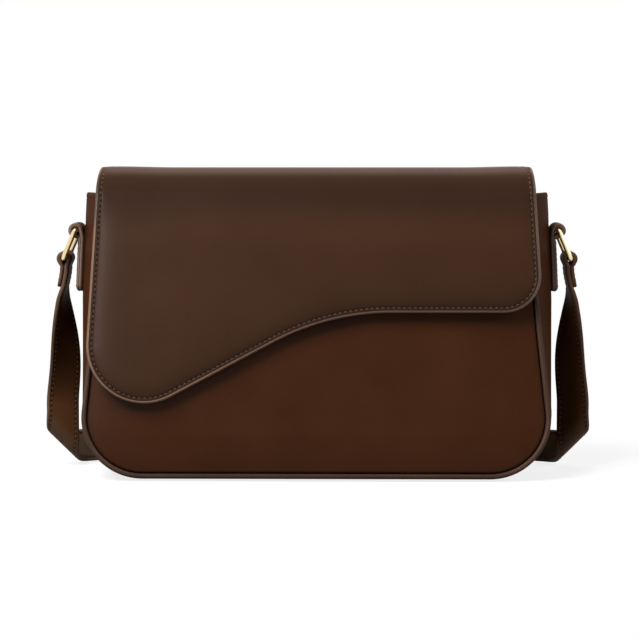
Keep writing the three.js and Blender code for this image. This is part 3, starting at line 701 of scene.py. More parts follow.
# %% Slip pocket
HEM_BAND, HEM_THICK, GAPE, SEWN_IN = 8, 0.35, 2.6, 0.3
pocket_low, pocket_high = cad("slip_pocket")
(left, near, bottom), (right, far, top) = pocket_low, pocket_high
up = np.r_[np.linspace(bottom, top - HEM_BAND - 1, 24),
           top - np.array([HEM_BAND, HEM_BAND - 0.6, 6, 4, 2, 1, 0.4, 0])]
z, x = np.meshgrid(up, np.linspace(left, right, 61), indexing="ij")
slack = (1 - (2 * (x - (right + left) / 2) / (right - left)) ** 2) ** 2
gape = GAPE * slack * ease((z - bottom) / (top - bottom)) ** 2
hem = HEM_THICK * ease((z - top + HEM_BAND) / 0.6)
edge = np.minimum(np.minimum(x - left, right - x), z - bottom)
sewn = SEWN_IN * (1 - ease(edge / 2.5))
points, faces = grid_sheet(np.stack([x, near - gape - hem + sewn, z], -1),
                           np.stack([x, far - gape + sewn, z], -1))
pocket = make_piece("slip_pocket_cloth", points, faces, [twill])
flat = np.stack([x, z], -1).reshape(-1, 2)
finish_lining(pocket, flat, "slip_pocket")

# %% [markdown]
# ## Flap
# The flap starts sewn on the back, bends over the mouth, and hangs in front with an S-shaped edge.
# On the flat it is one piece of leather, so it is laid out flat and then wrapped over both bends.
# It is cut in two at the middle of the bridge, so that each half crosses only one hinge. Its edge
# is rolled and painted, a crease runs inside the paint, and the padding rises past the stitches.

# %% Sizes of the flap
bridge_low, bridge_high = cad("flap_bridge")
flap_top = bridge_high[2]
BEND = 15
FLAP_THICK = 3.2
bend_height = flap_top - BEND
bridge_middle = (bridge_low[1] + bridge_high[1]) / 2
front_face = -cad("flap_leather")[0][1]
rear_face = cad("flap_anchor")[1][1]
half_top = bridge_high[0]
FLAP_LEAN = math.radians(4.2)
LOBE_RADIUS, SLOPE, SWEEP_RADIUS, SHORT_CORNER = 29.5, 28, 129, 19
LOBE_LOW = cad("flap_leather")[0][2]
SHORT_LOW = 87.7
BEND_IN = 1.3
half_bridge = bridge_middle + front_face - BEND
bend_run = BEND * math.pi / 2
flat_bend = -(half_bridge + bend_run)


def flap_half(z):
    return half_top + max(bend_height - z, 0) * math.tan(FLAP_LEAN)


def to_flat(points):
    return np.asarray(points, float) + (0, flat_bend - bend_height)


def wrap(flat, rise, face, direction):
    """Wraps flat places over a bend: level from the bridge's middle, round, then straight down"""
    x, down = flat[:, 0], -flat[:, 1]
    level = face - BEND - direction * bridge_middle
    angle = np.clip((down - level) / BEND, 0, math.pi / 2)
    hang = np.clip(down - level - bend_run, 0, None)
    reach = direction * bridge_middle + np.minimum(down, level) + (BEND + rise) * np.sin(angle)
    height = bend_height + (BEND + rise) * np.cos(angle) - hang
    return np.stack([x, direction * reach, height], 1)


print("flap: level", round(half_bridge, 2), "mm, then a bend of", round(bend_run, 2), "mm")

# %% Outlines of the flap's two halves
UPPER_ROWS = list(-np.linspace(0, 60, 34))
FLAP_INSETS = [0, 0.1, 0.3, 0.6, 0.95, 1.35, 1.5, 1.7, 1.95, 2.2, 2.5, 2.85, 3.2, 3.55,
               4.2, 5.4, 7.6, 10.6]
ANCHOR_CORNER = 12
lean, slope = math.degrees(FLAP_LEAN), math.radians(SLOPE)
lobe_z, short_z = LOBE_LOW + LOBE_RADIUS, SHORT_LOW + SHORT_CORNER
lobe = (LOBE_RADIUS / math.cos(FLAP_LEAN) - flap_half(lobe_z), lobe_z)
lobe_end = arc(lobe, LOBE_RADIUS, 270 + SLOPE, 270 + SLOPE, 1)[0]
sweep_rise = SHORT_LOW - SWEEP_RADIUS * (1 - math.cos(slope))
sweep_x = lobe_end[0] + (sweep_rise - lobe_end[1]) / math.tan(slope)
sweep = (sweep_x + SWEEP_RADIUS * math.sin(slope), SHORT_LOW - SWEEP_RADIUS)
short = (flap_half(short_z) - SHORT_CORNER / math.cos(FLAP_LEAN), short_z)


def flat_half(row):
    return flap_half(row - flat_bend + bend_height) - BEND_IN * ease((row - flat_bend) / bend_run)


def flap_layout(left, low, right, side_steps, low_steps):
    start = np.array([[-flat_half(UPPER_ROWS[-1]), UPPER_ROWS[-1]]])
    left = np.vstack([start, to_flat(left)])
    right = np.vstack([to_flat(right), start * (-1, 1)])
    outline = cut_outline(flat_half, UPPER_ROWS, left, to_flat(low), right, side_steps, low_steps)
    upper = len(UPPER_ROWS) - 1
    return lay_out(outline, upper, upper + side_steps, FLAP_INSETS)


front_layout = flap_layout(
    arc(lobe, LOBE_RADIUS, 180 - lean, 225),
    np.vstack([arc(lobe, LOBE_RADIUS, 225, 270 + SLOPE), arc(sweep, SWEEP_RADIUS, 90 + SLOPE, 90),
               arc(short, SHORT_CORNER, 270, 315)]),
    arc(short, SHORT_CORNER, 315, 360 + lean), 38, 120)
anchor = (-(half_top - ANCHOR_CORNER), ANCHOR_LOW + ANCHOR_CORNER)
quarter = arc(anchor, ANCHOR_CORNER, 180, 270)
turn = len(quarter) // 2
upright, level = quarter[:turn + 1], quarter[turn:]
rear_layout = flap_layout(upright, np.vstack([level, (level * (-1, 1))[::-1]]),
                          (upright * (-1, 1))[::-1], 14, 120)
print("flap halves have", len(front_layout["flat"]), "and", len(rear_layout["flat"]), "places")

# %% Flap leather
EDGE_ROLL, FLAP_STITCH = 1.36, 2.85
RISE_AT, UNDER_AT = FLAP_INSETS[:14], FLAP_INSETS[:6]
RISE = [-1.5, -0.9, -0.48, -0.2, -0.05, 0, -0.12, -0.24, -0.14, -0.1, -0.22, -0.45, -0.2, -0.04]
UNDER = [-1.7, -2.3, -2.75, -3, -3.14, -FLAP_THICK]
PADDING_AT = FLAP_INSETS[13:] + [14, 20, 40, 60]
PADDING = [0, 0.24, 0.6, 1, 1.3, 1.5, 1.7, 1.95, 2.05]
SAG, BEND_SHADE = 0.5, 0.6
PAD_START, PAD_RUN, SAG_FROM, SAG_RUN = 10, 38, 4, 30
LOBE_HIGHLIGHT, HIGHLIGHT_SIDE, HIGHLIGHT_FADE, HIGHLIGHT_DROP = 0.54, -20, 40, 8


def flap_rise(flat, edge):
    """Rolled edge, crease and groove, then padding below the bend and a slight sag above it"""
    padded = ease((flat_bend + PAD_START - flat[:, 1]) / PAD_RUN)
    padding = np.interp(edge, PADDING_AT, PADDING)
    sag = SAG * ease((edge - SAG_FROM) / SAG_RUN)
    return np.interp(edge, RISE_AT, RISE) + padding * padded - sag * (1 - padded)


def make_flap(name, layout, face, direction):
    flat, edge = layout["flat"], layout["edge"]
    outer = wrap(flat, flap_rise(flat, edge), face, direction)
    inner = wrap(flat, np.interp(edge, UNDER_AT, UNDER), face, direction)
    points, faces = closed_sheet(outer, inner, layout)
    painted = edge[layout["quads"]].max(1) <= EDGE_ROLL
    finish_of = np.r_[np.where(painted, 1, 0), np.where(painted, 1, 2),
                      np.ones(len(layout["border"]))]
    flap = make_piece(name, points, faces, [flap_hide, edge_paint, split], finish_of)
    # Painted shade in the crease and stitch groove inside the painted edge, lighter on the
    # underside
    painted_shade = np.interp(edge, [1.25, 1.7, 2.1, 2.85, 3.5, 4], [0, 0.65, 0.5, 0.9, 0.55, 0])
    # Painted shade round each bend of the flap, fading out some 20 mm below it
    past_bend = flat[:, 1] - flat_bend
    painted_bend_shade = BEND_SHADE * ease((18 - past_bend) / 7) * ease((past_bend + 20) / 26)
    note(flap, "painted_shade", np.r_[np.maximum(painted_shade, painted_bend_shade), 0.4 * painted_shade])
    return flap


flap_front = make_flap("flap_front_leather", front_layout, front_face, -1)
across, along = front_layout["flat"].T
# Painted highlight on the painted edge of the flap's left side and lobe, fading out towards the
# middle
painted_highlight = LOBE_HIGHLIGHT * ease((HIGHLIGHT_SIDE - across) / HIGHLIGHT_FADE)
painted_highlight *= ease((flat_bend - HIGHLIGHT_DROP - along) / 14)
painted_highlight *= front_layout["edge"] <= EDGE_ROLL
note(flap_front, "painted_light", np.r_[painted_highlight, painted_highlight])
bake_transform(flap_front)
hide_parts("flap_front_bend", "flap_leather", "flap_lining")
flap_rear = make_flap("flap_rear_leather", rear_layout, rear_face, 1)
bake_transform(flap_rear)
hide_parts("flap_anchor", "flap_rear_bend", "flap_bridge")

# %% [markdown]
# ## Stitches
# Each stitch is a short length of thread that dips into the leather at both ends. A texture of
# dashes would vanish from the side, so every stitch is a small capsule of its own. One helper
# spaces them evenly along any path, and the rows on one part are joined into one piece.

# %% Helper that sews a row of stitches
STITCH_PITCH, STITCH_LENGTH = 2.75, 1.75
THREAD_HALF, THREAD_HIGH = 0.33, 0.25
STITCH_ALONG = np.array([-0.5, -0.4, -0.18, 0.18, 0.4, 0.5])
STITCH_SIZE = np.array([0.35, 0.8, 1, 1, 0.8, 0.35])
STITCH_LIFT = np.array([-0.2, 0.02, 0.14, 0.14, 0.02, -0.2])


def sew(path, normals):
    """Points of the stitches on a path, and where each lies along and round its thread"""
    run = run_along(path)
    count = max(1, int(run[-1] // STITCH_PITCH))
    middle = (np.arange(count) + 0.5) * run[-1] / count
    at = middle[:, None] + STITCH_LENGTH * STITCH_ALONG
    follow, up = places_at(at, run, path), unit(places_at(at, run, normals))
    side = unit(np.cross(np.gradient(follow, axis=1), up))
    turn = np.linspace(0, 2 * math.pi, 8, endpoint=False)
    ring = (side[:, :, None] * (THREAD_HALF * np.cos(turn))[:, None]
            + up[:, :, None] * (THREAD_HIGH * np.sin(turn))[:, None])
    middle_line = (follow + up * STITCH_LIFT[:, None])[:, :, None]
    lay = np.stack(np.broadcast_arrays(at[:, :, None], turn / math.pi, 0.0), -1)
    return middle_line + ring * STITCH_SIZE[:, None, None], lay


def sewn_piece(name, rows, body=None):
    """One piece from rows of stitches, each a path and the directions out of the leather"""
    points, lays, faces, start = [], [], [], 0
    for path, normals in rows:
        row, lay = sew(path, normals)
        index = start + np.arange(row[..., 0].size).reshape(row.shape[:3])
        for stitch in index:
            faces += tube_faces(stitch)
        start += index.size
        points.append(row.reshape(-1, 3))
        lays.append(lay.reshape(-1, 3))
    piece = make_piece(name, np.vstack(points), faces, [thread])
    note(piece, "lay", np.vstack(lays))
    if body:
        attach(piece, body)
    return piece


# %% Stitches round the flap
def flap_rows(layout, face, direction):
    flat = layout["path"](FLAP_STITCH)
    rows = []
    for curve_at, curve, out in ((RISE_AT, RISE, 1), (UNDER_AT, UNDER, -1)):
        rise = np.interp(FLAP_STITCH, curve_at, curve)
        path, above = (wrap(flat, rise + more, face, direction) for more in (0, 1))
        rows.append((path, out * (above - path)))
    return rows


front_stitches = sewn_piece("flap_front_stitches", flap_rows(front_layout, front_face, -1))
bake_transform(front_stitches)
rear_stitches = sewn_piece("flap_rear_stitches", flap_rows(rear_layout, rear_face, 1))
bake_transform(rear_stitches)

# %% Stitches at the mouth and round the pocket
ROW_END, POCKET_STITCH, PANEL_SINK, CLOTH_SINK = 3, 2, 0.3, 0.1
half = seam_half(front_high[2], PANEL_INSET) - ROW_END
depth = np.full(60, front_low[1] + PANEL_SINK)
height = np.full(60, front_high[2] - MOUTH_STITCH)
mouth_row = np.stack([np.linspace(-half, half, 60), depth, height], 1)
left, bottom = pocket_low[[0, 2]] + POCKET_STITCH
right, top = pocket_high[[0, 2]] - POCKET_STITCH
corner = resample([(left, top), (left, bottom), (right, bottom), (right, top)], 160)
pocket_row = np.stack([corner[:, 0], np.full(161, pocket_low[1] + CLOTH_SINK), corner[:, 1]], 1)
rows = [(row, np.tile((0, -1, 0), (len(row), 1))) for row in (mouth_row, pocket_row)]
sewn_piece("body_stitches", rows, "bag_body")

# %% [markdown]
# ## Rings
# Each ring is pale gold wire bent to a rectangle with round corners. It hangs by its upper bar in
# the tab and leans out under the strap's weight. The path is flat, so the tube sweep from the
# piping makes it as a closed loop with enough sides to look round.

# %% Rings
RING_WIRE, RING_LENGTH, RING_CORNER = 2.6, 16.1, 3
RING_LEAN = math.radians(23)
RING_HALF, RING_DROP, RING_OUT, TAB_GAP = 11.3, 19.5, 3.9, 0.3
ring_height = mouth - RING_DROP
upper_bar = np.array([gusset_half(ring_height) + TAB_GAP + RING_OUT, ring_height])
lower_bar = upper_bar + RING_LENGTH * np.array([math.sin(RING_LEAN), -math.cos(RING_LEAN)])
reach = RING_HALF - RING_CORNER
centres = [(reach, RING_CORNER, -90), (reach, RING_LENGTH - RING_CORNER, 0),
           (-reach, RING_LENGTH - RING_CORNER, 90), (-reach, RING_CORNER, 180)]
loop = np.vstack([arc((y, down), RING_CORNER, turn, turn + 90, 10) for y, down, turn in centres])
for side, name in ((LEFT, "left_ring"), (RIGHT, "right_ring")):
    out = upper_bar[0] + loop[:, 1] * math.sin(RING_LEAN)
    path = np.stack([side * out, loop[:, 0], upper_bar[1] - loop[:, 1] * math.cos(RING_LEAN)], 1)
    plane = (side * math.cos(RING_LEAN), 0, math.sin(RING_LEAN))
    points, faces = swept_tube(path, plane, RING_WIRE / 2, 20, closed=True)
    ring = make_piece(name + "_wire", points, faces, [gold])
    carry(ring, name, "gold", name)
print("ring bars at", upper_bar.round(2), "and", lower_bar.round(2), "mm")

# %% [markdown]
# ## Strips of leather
# Tabs and strap are strips with painted edges and a stitch groove along each side. A strip is a
# cross-section carried along stations. Each station has a middle, a direction across the strip
# (longer than 1 where the strip is cut on a slant), the way its face looks, and its half thickness
# and width.

# %% Cross-section of a strip
SECTION = np.array([(0, 0), (0.07, 0.4), (0.28, 0.74), (0.65, 0.94), (1.15, 1), (1.75, 0.97),
                    (2.2, 0.84), (2.65, 0.97), (3.3, 1.02), (5.5, 1.05), (9, 1.06)])
STRAP_HALF, STRIP_STITCH, PAINT_EDGE = 9, 2.2, 1.2
ROW_AT, GROOVE_SHARE = STRAP_HALF - STRIP_STITCH, 0.86
CROSS_ROW = np.linspace(-6.6, 6.6, 20)[:, None]


def strip_loop():
    """Inset, share of the half thickness, side and face for each point round a section"""
    quarters = ((SECTION, 1, 1), (SECTION[-2::-1], -1, 1), (SECTION[1:], -1, -1),
                (SECTION[-2:0:-1], 1, -1))
    return np.array([(*point, side, top) for part, side, top in quarters for point in part])


def strip_mesh(stations):
    origin, wide, face, thick, half = stations
    inset, share, side, top = strip_loop().T
    width = side * np.clip(half[:, None] * (1 - inset / STRAP_HALF), 0, None)
    height = top * share * thick[:, None]
    points = origin[:, None] + width[..., None] * wide[:, None] + height[..., None] * face[:, None]
    index = np.arange(len(origin) * len(inset)).reshape(len(origin), -1)
    painted = np.maximum(inset, np.roll(inset, -1)) < PAINT_EDGE
    kind = np.where(painted, 1, np.where(top + np.roll(top, -1) < 0, 2, 0))
    finish_of = np.r_[np.tile(kind, len(origin) - 1), 1, 1]
    # Painted shade along the stitch groove near each painted edge
    painted_shade = np.interp(inset, [PAINT_EDGE, 1.6, STRIP_STITCH, 2.8], [0.1, 0.2, 0.8, 0])
    return points.reshape(-1, 3), tube_faces(index), finish_of, np.tile(painted_shade, len(origin))


# %% Rows of stitches on a strip
def strip_row(stations, width, face_side, keep=slice(None)):
    """Path and directions for stitches along a strip, at a distance from its middle line"""
    origin, wide, face, thick = (part[keep] for part in stations[:4])
    path = origin + width * wide + (face_side * GROOVE_SHARE * thick)[:, None] * face
    return path, face_side * face


def cross_row(stations, station, lift):
    """Path and directions for stitches straight across a strip"""
    path, out = strip_row(stations, 0, 1, slice(station, station + 1))
    return path + CROSS_ROW * (0, 1, 0) + lift * out, np.repeat(out, len(CROSS_ROW), 0)


# %% Helpers that bend and end a strip
def wrap_bar(bar, radius, outer, inner):
    """A strip's middle line in (out, up): from its outer layer over a bar to its inner layer"""
    def touch(point, side):
        away = np.subtract(point, bar)
        turn = math.acos(radius / np.hypot(*away))
        return math.degrees(math.atan2(away[1], away[0]) + side * turn)
    return arc(bar, radius, touch(outer, 1), touch(inner, -1) + 360, 30)


def upright_stations(line):
    """Middles, directions across and faces of a strip that lies across the bag's depth"""
    ahead, zero = unit(np.gradient(line, axis=0)), np.zeros(len(line))
    origin = np.stack([line[:, 0], zero, line[:, 1]], 1)
    face = np.stack([ahead[:, 1], zero, -ahead[:, 0]], 1)
    return [origin, np.stack([zero, zero + 1, zero], 1), face]


def rounded_end(distance, thick, corner):
    """Thins and narrows a strip near its end, so the end is rolled and its corners are round"""
    thin = np.interp(distance, [0, 0.1, 0.35, 0.8], [0.4, 0.74, 0.94, 1])
    inset = np.clip(corner - distance, 0, corner)
    return thick * thin, STRAP_HALF - (corner - np.sqrt(corner ** 2 - inset ** 2))


# %% [markdown]
# ## Tabs
# A tab is a short strip that goes up the gusset, round the ring's bar and down again over itself.
# The two layers are sewn together in a box of stitches. From the front only its edge is seen,
# painted as one, with a drop-shaped eye where the ring sits. The eye is a little wider than the
# ring's wire.

# %% Tabs
TAB_LEATHER, LAYER_HALF, TAB_LENGTH, NECK = 1.7, 1.18, 32, 3.9
EYE_THICK, EYE_RADIUS = 2.4, 2.7
ROUNDED, TAB_CORNER, BOX_START = 2.6, 3, 4
END_STEPS = np.array([0, 0.1, 0.35, 0.8, 1.5, 2.4, 3.4])
tab_end, neck = upper_bar[1] - TAB_LENGTH, upper_bar[1] - NECK
tab_heights = np.r_[tab_end + END_STEPS, np.linspace(tab_end + 5, neck, 16)]


def tab_layer(depth, share):
    """Middle line of one layer; its share of the full thickness thins it from the outside"""
    out = gusset_half(tab_heights) + TAB_GAP - TAB_IN + depth - (1 - share) * LAYER_HALF
    return np.stack([out, tab_heights], 1)


def eye_thickness(steps, ends):
    """Half thickness round a ring's bar, where filler leather closes the eye"""
    middle = EYE_THICK / 2
    return np.interp(np.linspace(0, 1, steps), [0, 0.06, 0.94, 1], [ends, middle, middle, ends])


share = np.sqrt(1 - np.clip(1 - (tab_heights - tab_end) / ROUNDED, 0, 0.97) ** 2)
outer_layer = tab_layer(2 * TAB_LEATHER - LAYER_HALF, share)
inner_layer = tab_layer(LAYER_HALF, 1)
eye = wrap_bar(upper_bar, EYE_RADIUS, outer_layer[-1], inner_layer[-1])
line = np.vstack([outer_layer, eye, inner_layer[::-1]])
thick = np.r_[share * LAYER_HALF, eye_thickness(len(eye), LAYER_HALF),
              np.full(len(inner_layer), LAYER_HALF)]
end_distance = np.r_[END_STEPS, np.full(len(line) - 2 * len(END_STEPS), FAR), END_STEPS[::-1]]
tab_stations = [*upright_stations(line), *rounded_end(end_distance, thick, TAB_CORNER)]
points, faces, finish_of, painted_shade = strip_mesh(tab_stations)
last = len(outer_layer) - 1
box = [strip_row(tab_stations, width, 1, slice(BOX_START, last)) for width in (-ROW_AT, ROW_AT)]
box += [cross_row(tab_stations, station, 0.08) for station in (BOX_START, last - 2)]
for side, name in ((LEFT, "left_tab"), (RIGHT, "right_tab")):
    mirror = np.array([side, 1, 1])
    tab = make_piece(name + "_leather", points * mirror, faces,
                     [body_hide, edge_paint, flesh_side], finish_of)
    note(tab, "painted_shade", painted_shade)
    carry(tab, "bag_body", "leather", name)
    rows = [(path * mirror, out * mirror) for path, out in box]
    sewn_piece(name + "_stitches", rows, "bag_body")

# %% [markdown]
# ## Strap
# The strap goes round each ring, hangs down beside the bag, turns its face to the front, folds
# over itself like a ribbon on the ground, and runs behind the bag in a shallow arc. The fold wraps
# half round a slanting line, so its stations lie on that slant. One half is followed from the tail
# to the middle of the arc and mirrored. Vectors are (out, back, up).

# %% Sizes of the strap
STRAP_THICK, TAIL_THICK, TAIL_OUT = 2.4, 2.0, 1.05
STRAP_SWING, SWING_START, SWING_END = 3.1, 20, 50
TAIL_CORNER = 2.5
TAIL_LENGTH, FOLD_OUT, FOLD_RADIUS, FOLD_MARGIN, STRAP_LIFT = 15, 4.4, 6.5, 1.5, 0.3
FOLD_HEADING = math.radians(26)
BODY_HALF_DEPTH, FOLD_FORWARD = 34, 19.5
STRAIGHT_SHARE = 0.16
DOWN = np.array([0, 0, -1.0])
ACROSS = np.array([-math.cos(FOLD_HEADING), math.sin(FOLD_HEADING), 0])
BEHIND = np.array([math.sin(FOLD_HEADING), math.cos(FOLD_HEADING), 0])
fold_drop = math.pi * FOLD_RADIUS / math.sqrt(2)
fold_point = np.array([lower_bar[0] + FOLD_OUT, BODY_HALF_DEPTH - FOLD_FORWARD,
                       STRAP_LIFT + STRAP_HALF + fold_drop])
fold_reach = STRAP_HALF + FOLD_MARGIN
drop_start = np.array([lower_bar[0] - STRAP_THICK / 2, 0, lower_bar[1] - TAIL_LENGTH])
drop_end = fold_point - fold_reach * DOWN
strap_neck = lower_bar[1] - NECK
print("strap folds at", fold_point.round(1), "mm")


# %% Stations from the ring to the fold
def swing_out(height):
    """How far the strap swings out under its ring before it hangs straight"""
    start, end = (strap_neck - height) / SWING_START, (height - drop_end[2]) / SWING_END
    return STRAP_SWING * ease(start) * ease(end)


def end_stations():
    """From the tail up round the ring's lower bar and down to where the strap starts to turn"""
    tail_up = np.r_[drop_start[2] + END_STEPS, np.linspace(drop_start[2] + 4.2, strap_neck, 6)]
    tail = np.stack([lower_bar[0] + TAIL_OUT + swing_out(tail_up), tail_up], 1)
    main_down = np.linspace(strap_neck, drop_start[2] + 1.2, 8)
    main = np.stack([drop_start[0] + swing_out(main_down), main_down], 1)
    eye = wrap_bar(lower_bar, EYE_RADIUS, tail[-1], main[0])
    line = np.vstack([tail, eye, main])
    thick = np.r_[np.full(len(tail), TAIL_THICK / 2), eye_thickness(len(eye), STRAP_THICK / 2),
                  np.full(len(main), STRAP_THICK / 2)]
    distance = np.r_[END_STEPS, np.full(len(line) - len(END_STEPS), FAR)]
    made = [*upright_stations(line), *rounded_end(distance, thick, TAIL_CORNER)]
    return made, len(tail), len(tail) + len(eye)


def drop_station(share):
    def middle(s):
        point = drop_start + (drop_end - drop_start) * (ease(s * s), ease(s), s)
        return point + (swing_out(point[2]), 0, 0)
    ahead = unit(middle(share + 0.001) - middle(share - 0.001))
    heading = math.pi / 2 + (FOLD_HEADING - math.pi / 2) * math.sin(share * math.pi / 2)
    wide = np.array([-math.cos(heading), math.sin(heading), 0])
    wide = unit(wide - wide @ ahead * ahead)
    return middle(share), wide, np.cross(wide, ahead)


# %% Stations of the fold and behind it
def fold_station(past):
    slant, onward = (DOWN + ACROSS) / math.sqrt(2), (DOWN - ACROSS) / math.sqrt(2)
    sine, cosine = math.sin(past / FOLD_RADIUS), math.cos(past / FOLD_RADIUS)
    start = fold_point + FOLD_RADIUS * (onward * sine + BEHIND * (1 - cosine))
    return start + slant * past, slant * math.sqrt(2), onward * sine - BEHIND * cosine


def arc_stations(steps=40):
    """From the fold to the middle behind the bag: straight at first, then curving"""
    start = (fold_point + DOWN * fold_drop + ACROSS * (fold_reach + fold_drop)
             + BEHIND * 2 * FOLD_RADIUS)
    heading = np.interp(np.linspace(0, 1, steps), [STRAIGHT_SHARE, 1], [FOLD_HEADING, 0])
    middle = (heading[1:] + heading[:-1]) / 2
    inward, back = (np.r_[0, np.cumsum(part)] for part in (np.cos(middle), np.sin(middle)))
    step = start[0] / inward[-1]
    return [(start + step * np.array([-i, b, 0]), DOWN, np.array([math.sin(h), math.cos(h), 0]))
            for i, b, h in zip(inward, back, heading)]


def between(first, second, steps):
    """Stations on the flat between a square station and a slanting one"""
    shares = np.linspace(0, 1, steps + 2)[1:-1]
    return [tuple(a + (b - a) * share for a, b in zip(first, second)) for share in shares]


# %% Strap
DROP_STEPS, SLANT_STEPS, FOLD_STEPS = 44, 4, 22
FOLD_HIGHLIGHT, HIGHLIGHT_BEFORE, HIGHLIGHT_BEHIND, HIGHLIGHT_END = 0.75, 12, 30, 14
drops = [drop_station(share) for share in np.linspace(0, 1, DROP_STEPS)]
folds = [fold_station(past) for past in np.linspace(0, math.pi * FOLD_RADIUS, FOLD_STEPS)]
arcs = arc_stations()
run = [*drops, *between(drops[-1], folds[0], SLANT_STEPS), *folds,
       *between(folds[-1], arcs[0], SLANT_STEPS), *arcs]
end, tail_count, loop_end = end_stations()
half_strap = [np.vstack([part, [station[k] for station in run]]) for k, part in enumerate(end[:3])]
half_strap += [np.r_[part, np.full(len(run), size)]
               for part, size in zip(end[3:], (STRAP_THICK / 2, STRAP_HALF))]
mirror = np.array([-1, 1, 1])
strap_stations = [np.vstack([part * mirror, part[-2::-1]]) for part in half_strap[:3]]
strap_stations += [np.r_[part, part[-2::-1]] for part in half_strap[3:]]
points, faces, finish_of, painted_shade = strip_mesh(strap_stations)
strap = make_piece("strap_leather", points, faces, [strap_hide_painted_lighter, strap_edge, flesh_side], finish_of)
note(strap, "painted_shade", painted_shade)
fold_middle = len(end[0]) + DROP_STEPS + SLANT_STEPS + FOLD_STEPS // 2
past_fold = np.arange(len(half_strap[0])) - fold_middle
# Painted sheen: the strap lighter round each fold and for a stretch behind it
fold_highlight = FOLD_HIGHLIGHT * ease((past_fold + HIGHLIGHT_BEFORE) / HIGHLIGHT_BEFORE)
fold_highlight *= ease((HIGHLIGHT_BEHIND - past_fold) / HIGHLIGHT_END)
note(strap, "painted_light", np.repeat(np.r_[fold_highlight, fold_highlight[-2::-1]], len(strip_loop())))
carry(strap, "strap", "leather", "shoulder_strap")

# %% Stitches of the strap
TAIL_START = 5
count = len(strap_stations[0])
rows = []
for width in (-ROW_AT, ROW_AT):
    for face_side, first, last in ((1, loop_end, count - loop_end),
                                   (-1, loop_end + 5, count - loop_end - 5),
                                   (1, TAIL_START, tail_count + 1),
                                   (1, count - tail_count - 1, count - TAIL_START)):
        rows.append(strip_row(strap_stations, width, face_side, slice(first, last)))
ends = (TAIL_START, count - 1 - TAIL_START)
rows += [cross_row(strap_stations, station, 0.1) for station in ends]
sewn_piece("strap_stitches", rows, "strap")

# %% [markdown]
# ## Magnetic snap
# The two halves of the snap are turned metal discs: a socket on the panel and a stud under the
# flap. A profile spun about its axis gives the rolled rims and the grooves that a plain disc
# lacks. They touch the leather that carries them, so the profile starts just inside it.


# %% Snap
def spun_piece(name, profile, node_name, body):
    sides = 56
    around = np.linspace(0, 2 * math.pi, sides, endpoint=False)
    radius, front = np.array(profile, float).T[..., None]
    x, z = SNAP[0] + radius * np.cos(around), SNAP[1] + radius * np.sin(around)
    points = np.stack([x, np.broadcast_to(-front, x.shape), z], -1).reshape(-1, 3)
    index = np.arange(len(points)).reshape(-1, sides)
    piece = make_piece(name, points, tube_faces(index), [gold], sharp=35)
    carry(piece, body, "gold", node_name)


spun_piece("snap_socket_disc", [
    (0.4, 33.9), (8.6, 33.9), (9, 34.2), (9, 35.6), (8.85, 36), (8.4, 36.25), (7.4, 36.3),
    (7.1, 36.2), (6.9, 36.05), (6.5, 36.05), (6.3, 36.2), (6, 36.3), (4.5, 36.3), (4, 36.22),
    (3.7, 36), (3.6, 35.6), (3.6, 34.8), (3.3, 34.72), (0.4, 34.7)], "snap_socket", "bag_body")
spun_piece("snap_stud_disc", [
    (0.4, 37.9), (8.5, 37.9), (8.9, 37.7), (9, 37.3), (8.9, 36.85), (8.5, 36.62), (6, 36.6),
    (5.8, 36.7), (5.4, 36.7), (5.2, 36.6), (3, 36.6), (2.65, 36.5), (2.5, 36.2), (2.5, 35.7),
    (2.35, 35.42), (2, 35.3), (0.4, 35.3)], "snap_stud", "flap_front")

# %% [markdown]
# ## Boards and washers
# The stiffening boards and the snap's washers lie between leather and lining. Their CAD shapes are
# right as they are, so they only get a finish of their own.

# %% Finishes for the CAD pieces that stay
for name in ("front_board", "back_board", "base_board", "flap_board"):
    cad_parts[name].material_slots[0].material = board
for name in ("socket_washer", "stud_washer"):
    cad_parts[name].material_slots[0].material = gold
print("boards and washers have their finishes")

# %% [markdown]
# ## Studio
# The bag stands on a white floor in front of white. A camera ray meets plain white away from the
# bag, and near it part of the floor's own light, so the soft shadow stays. Gold and waxed leather
# mirror the same white. The light itself comes from softboxes: a large key from the upper left
# that lights without a mirror image, a narrow strip on the left that only shines in the wax, and
# two weak fills. The strip would burn out the bright gold, so light linking leaves the two rings
# out of it.

# %% Floor
FLOOR_RADIUS, FLOOR_SIDES, FLOOR_DROP = 4, 64, 0.0004
SHADOW_NEAR, SHADOW_FAR, WHITE_NEAR = 0.16, 0.42, 0.8
PAPER_GREY, PAPER_WHITE = (0.1, 0.1, 0.1, 1), (0.92, 0.92, 0.92, 1)
floor_mesh = bpy.data.meshes.new("floor")
around = np.linspace(0, 2 * math.pi, FLOOR_SIDES, endpoint=False)
corners = [(FLOOR_RADIUS * math.cos(a), FLOOR_RADIUS * math.sin(a), -FLOOR_DROP) for a in around]
floor_mesh.from_pydata(corners, [], [tuple(range(FLOOR_SIDES))])
add_object("floor", floor_mesh)


def white_for(tree):
    """1 for the rays that show the white: those of the camera, mirrors and glass"""
    path = node(tree, "ShaderNodeLightPath")
    seen = path.outputs["Is Camera Ray"]
    for output in ("Is Glossy Ray", "Is Transmission Ray"):
        seen = calculate(tree, "MAXIMUM", seen, path.outputs[output])
    return seen


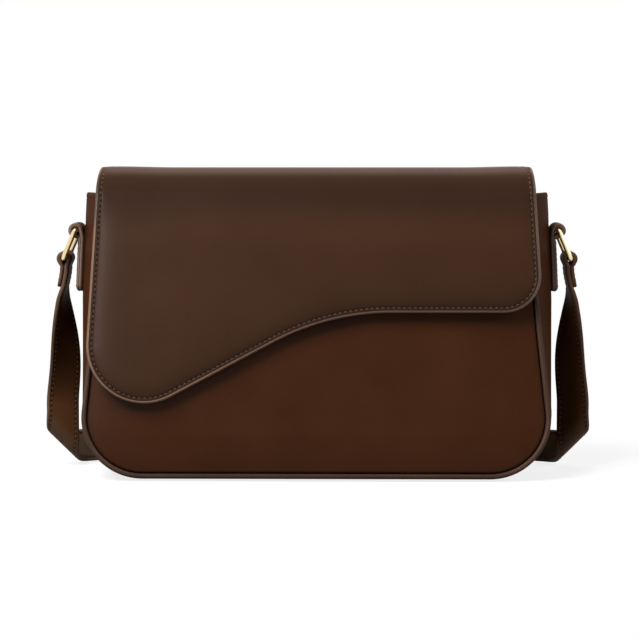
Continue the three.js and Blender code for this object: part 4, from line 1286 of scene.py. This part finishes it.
floor_finish = bpy.data.materials.new("white_floor")
floor_finish.use_nodes = True
tree = floor_finish.node_tree
tree.nodes.clear()
away = node(tree, "ShaderNodeVectorMath", {0: own_place(tree)}, operation="LENGTH")
white_share = spread(tree, away.outputs["Value"], SHADOW_NEAR, SHADOW_FAR, WHITE_NEAR, 1)
seen = white_for(tree)
share = calculate(tree, "MULTIPLY", white_share, seen)
paint = node(tree, "ShaderNodeBsdfDiffuse", {"Color": mixed(tree, seen, PAPER_GREY, PAPER_WHITE)})
glow = node(tree, "ShaderNodeEmission", {"Color": (1, 1, 1, 1), "Strength": 1})
surface = node(tree, "ShaderNodeMixShader", {0: share, 1: paint.outputs[0], 2: glow.outputs[0]})
node(tree, "ShaderNodeOutputMaterial", {"Surface": surface.outputs[0]})
floor_mesh.materials.append(floor_finish)
print("floor is", 2 * FLOOR_RADIUS, "m across")

# %% Room
AMBIENT = 0.055
room = bpy.data.worlds.new("studio")
room.use_nodes = True
scene.world = room
tree = room.node_tree
colour = mixed(tree, white_for(tree), (AMBIENT, AMBIENT, AMBIENT, 1), (1, 1, 1, 1))
background = tree.nodes["Background"]
tree.links.new(colour, background.inputs["Color"])
background.inputs["Strength"].default_value = 1
print("room lights the bag at", AMBIENT)


# %% Lamps
def softbox(name, place, aim, size, watts, lights=True, mirrored=True):
    lamp = bpy.data.lights.new(name, "AREA")
    lamp.shape = "RECTANGLE"
    lamp.size, lamp.size_y = size
    lamp.energy = watts
    box = add_object(name, lamp)
    box.location = place
    box.rotation_euler = (Vector(aim) - Vector(place)).to_track_quat("-Z", "Y").to_euler()
    box.visible_diffuse, box.visible_glossy = lights, mirrored
    print(name, watts, "W")
    return box


softbox("key_softbox", (-0.62, -0.78, 1.25), (0, 0, 0.08), (0.7, 0.8), 43.2, mirrored=False)
sheen = softbox("sheen_softbox", (-0.79, -1.09, 0.22), (0, 0, 0.1), (0.3, 0.6), 15, lights=False)
softbox("fill_softbox", (1.3, -0.4, 0.85), (0, 0, 0.08), (0.7, 0.7), 11)
softbox("top_softbox", (0, 0.4, 1.0), (0, 0, 0.1), (1.3, 0.5), 4.5)

# %% Keep the sheen lamp off the gold
unlit = bpy.data.collections.new("gold_without_sheen")
for name in ("left_ring_wire", "right_ring_wire"):
    unlit.objects.link(bpy.data.objects[name])
for member in unlit.collection_objects:
    member.light_linking.link_state = "EXCLUDE"
sheen.light_linking.receiver_collection = unlit
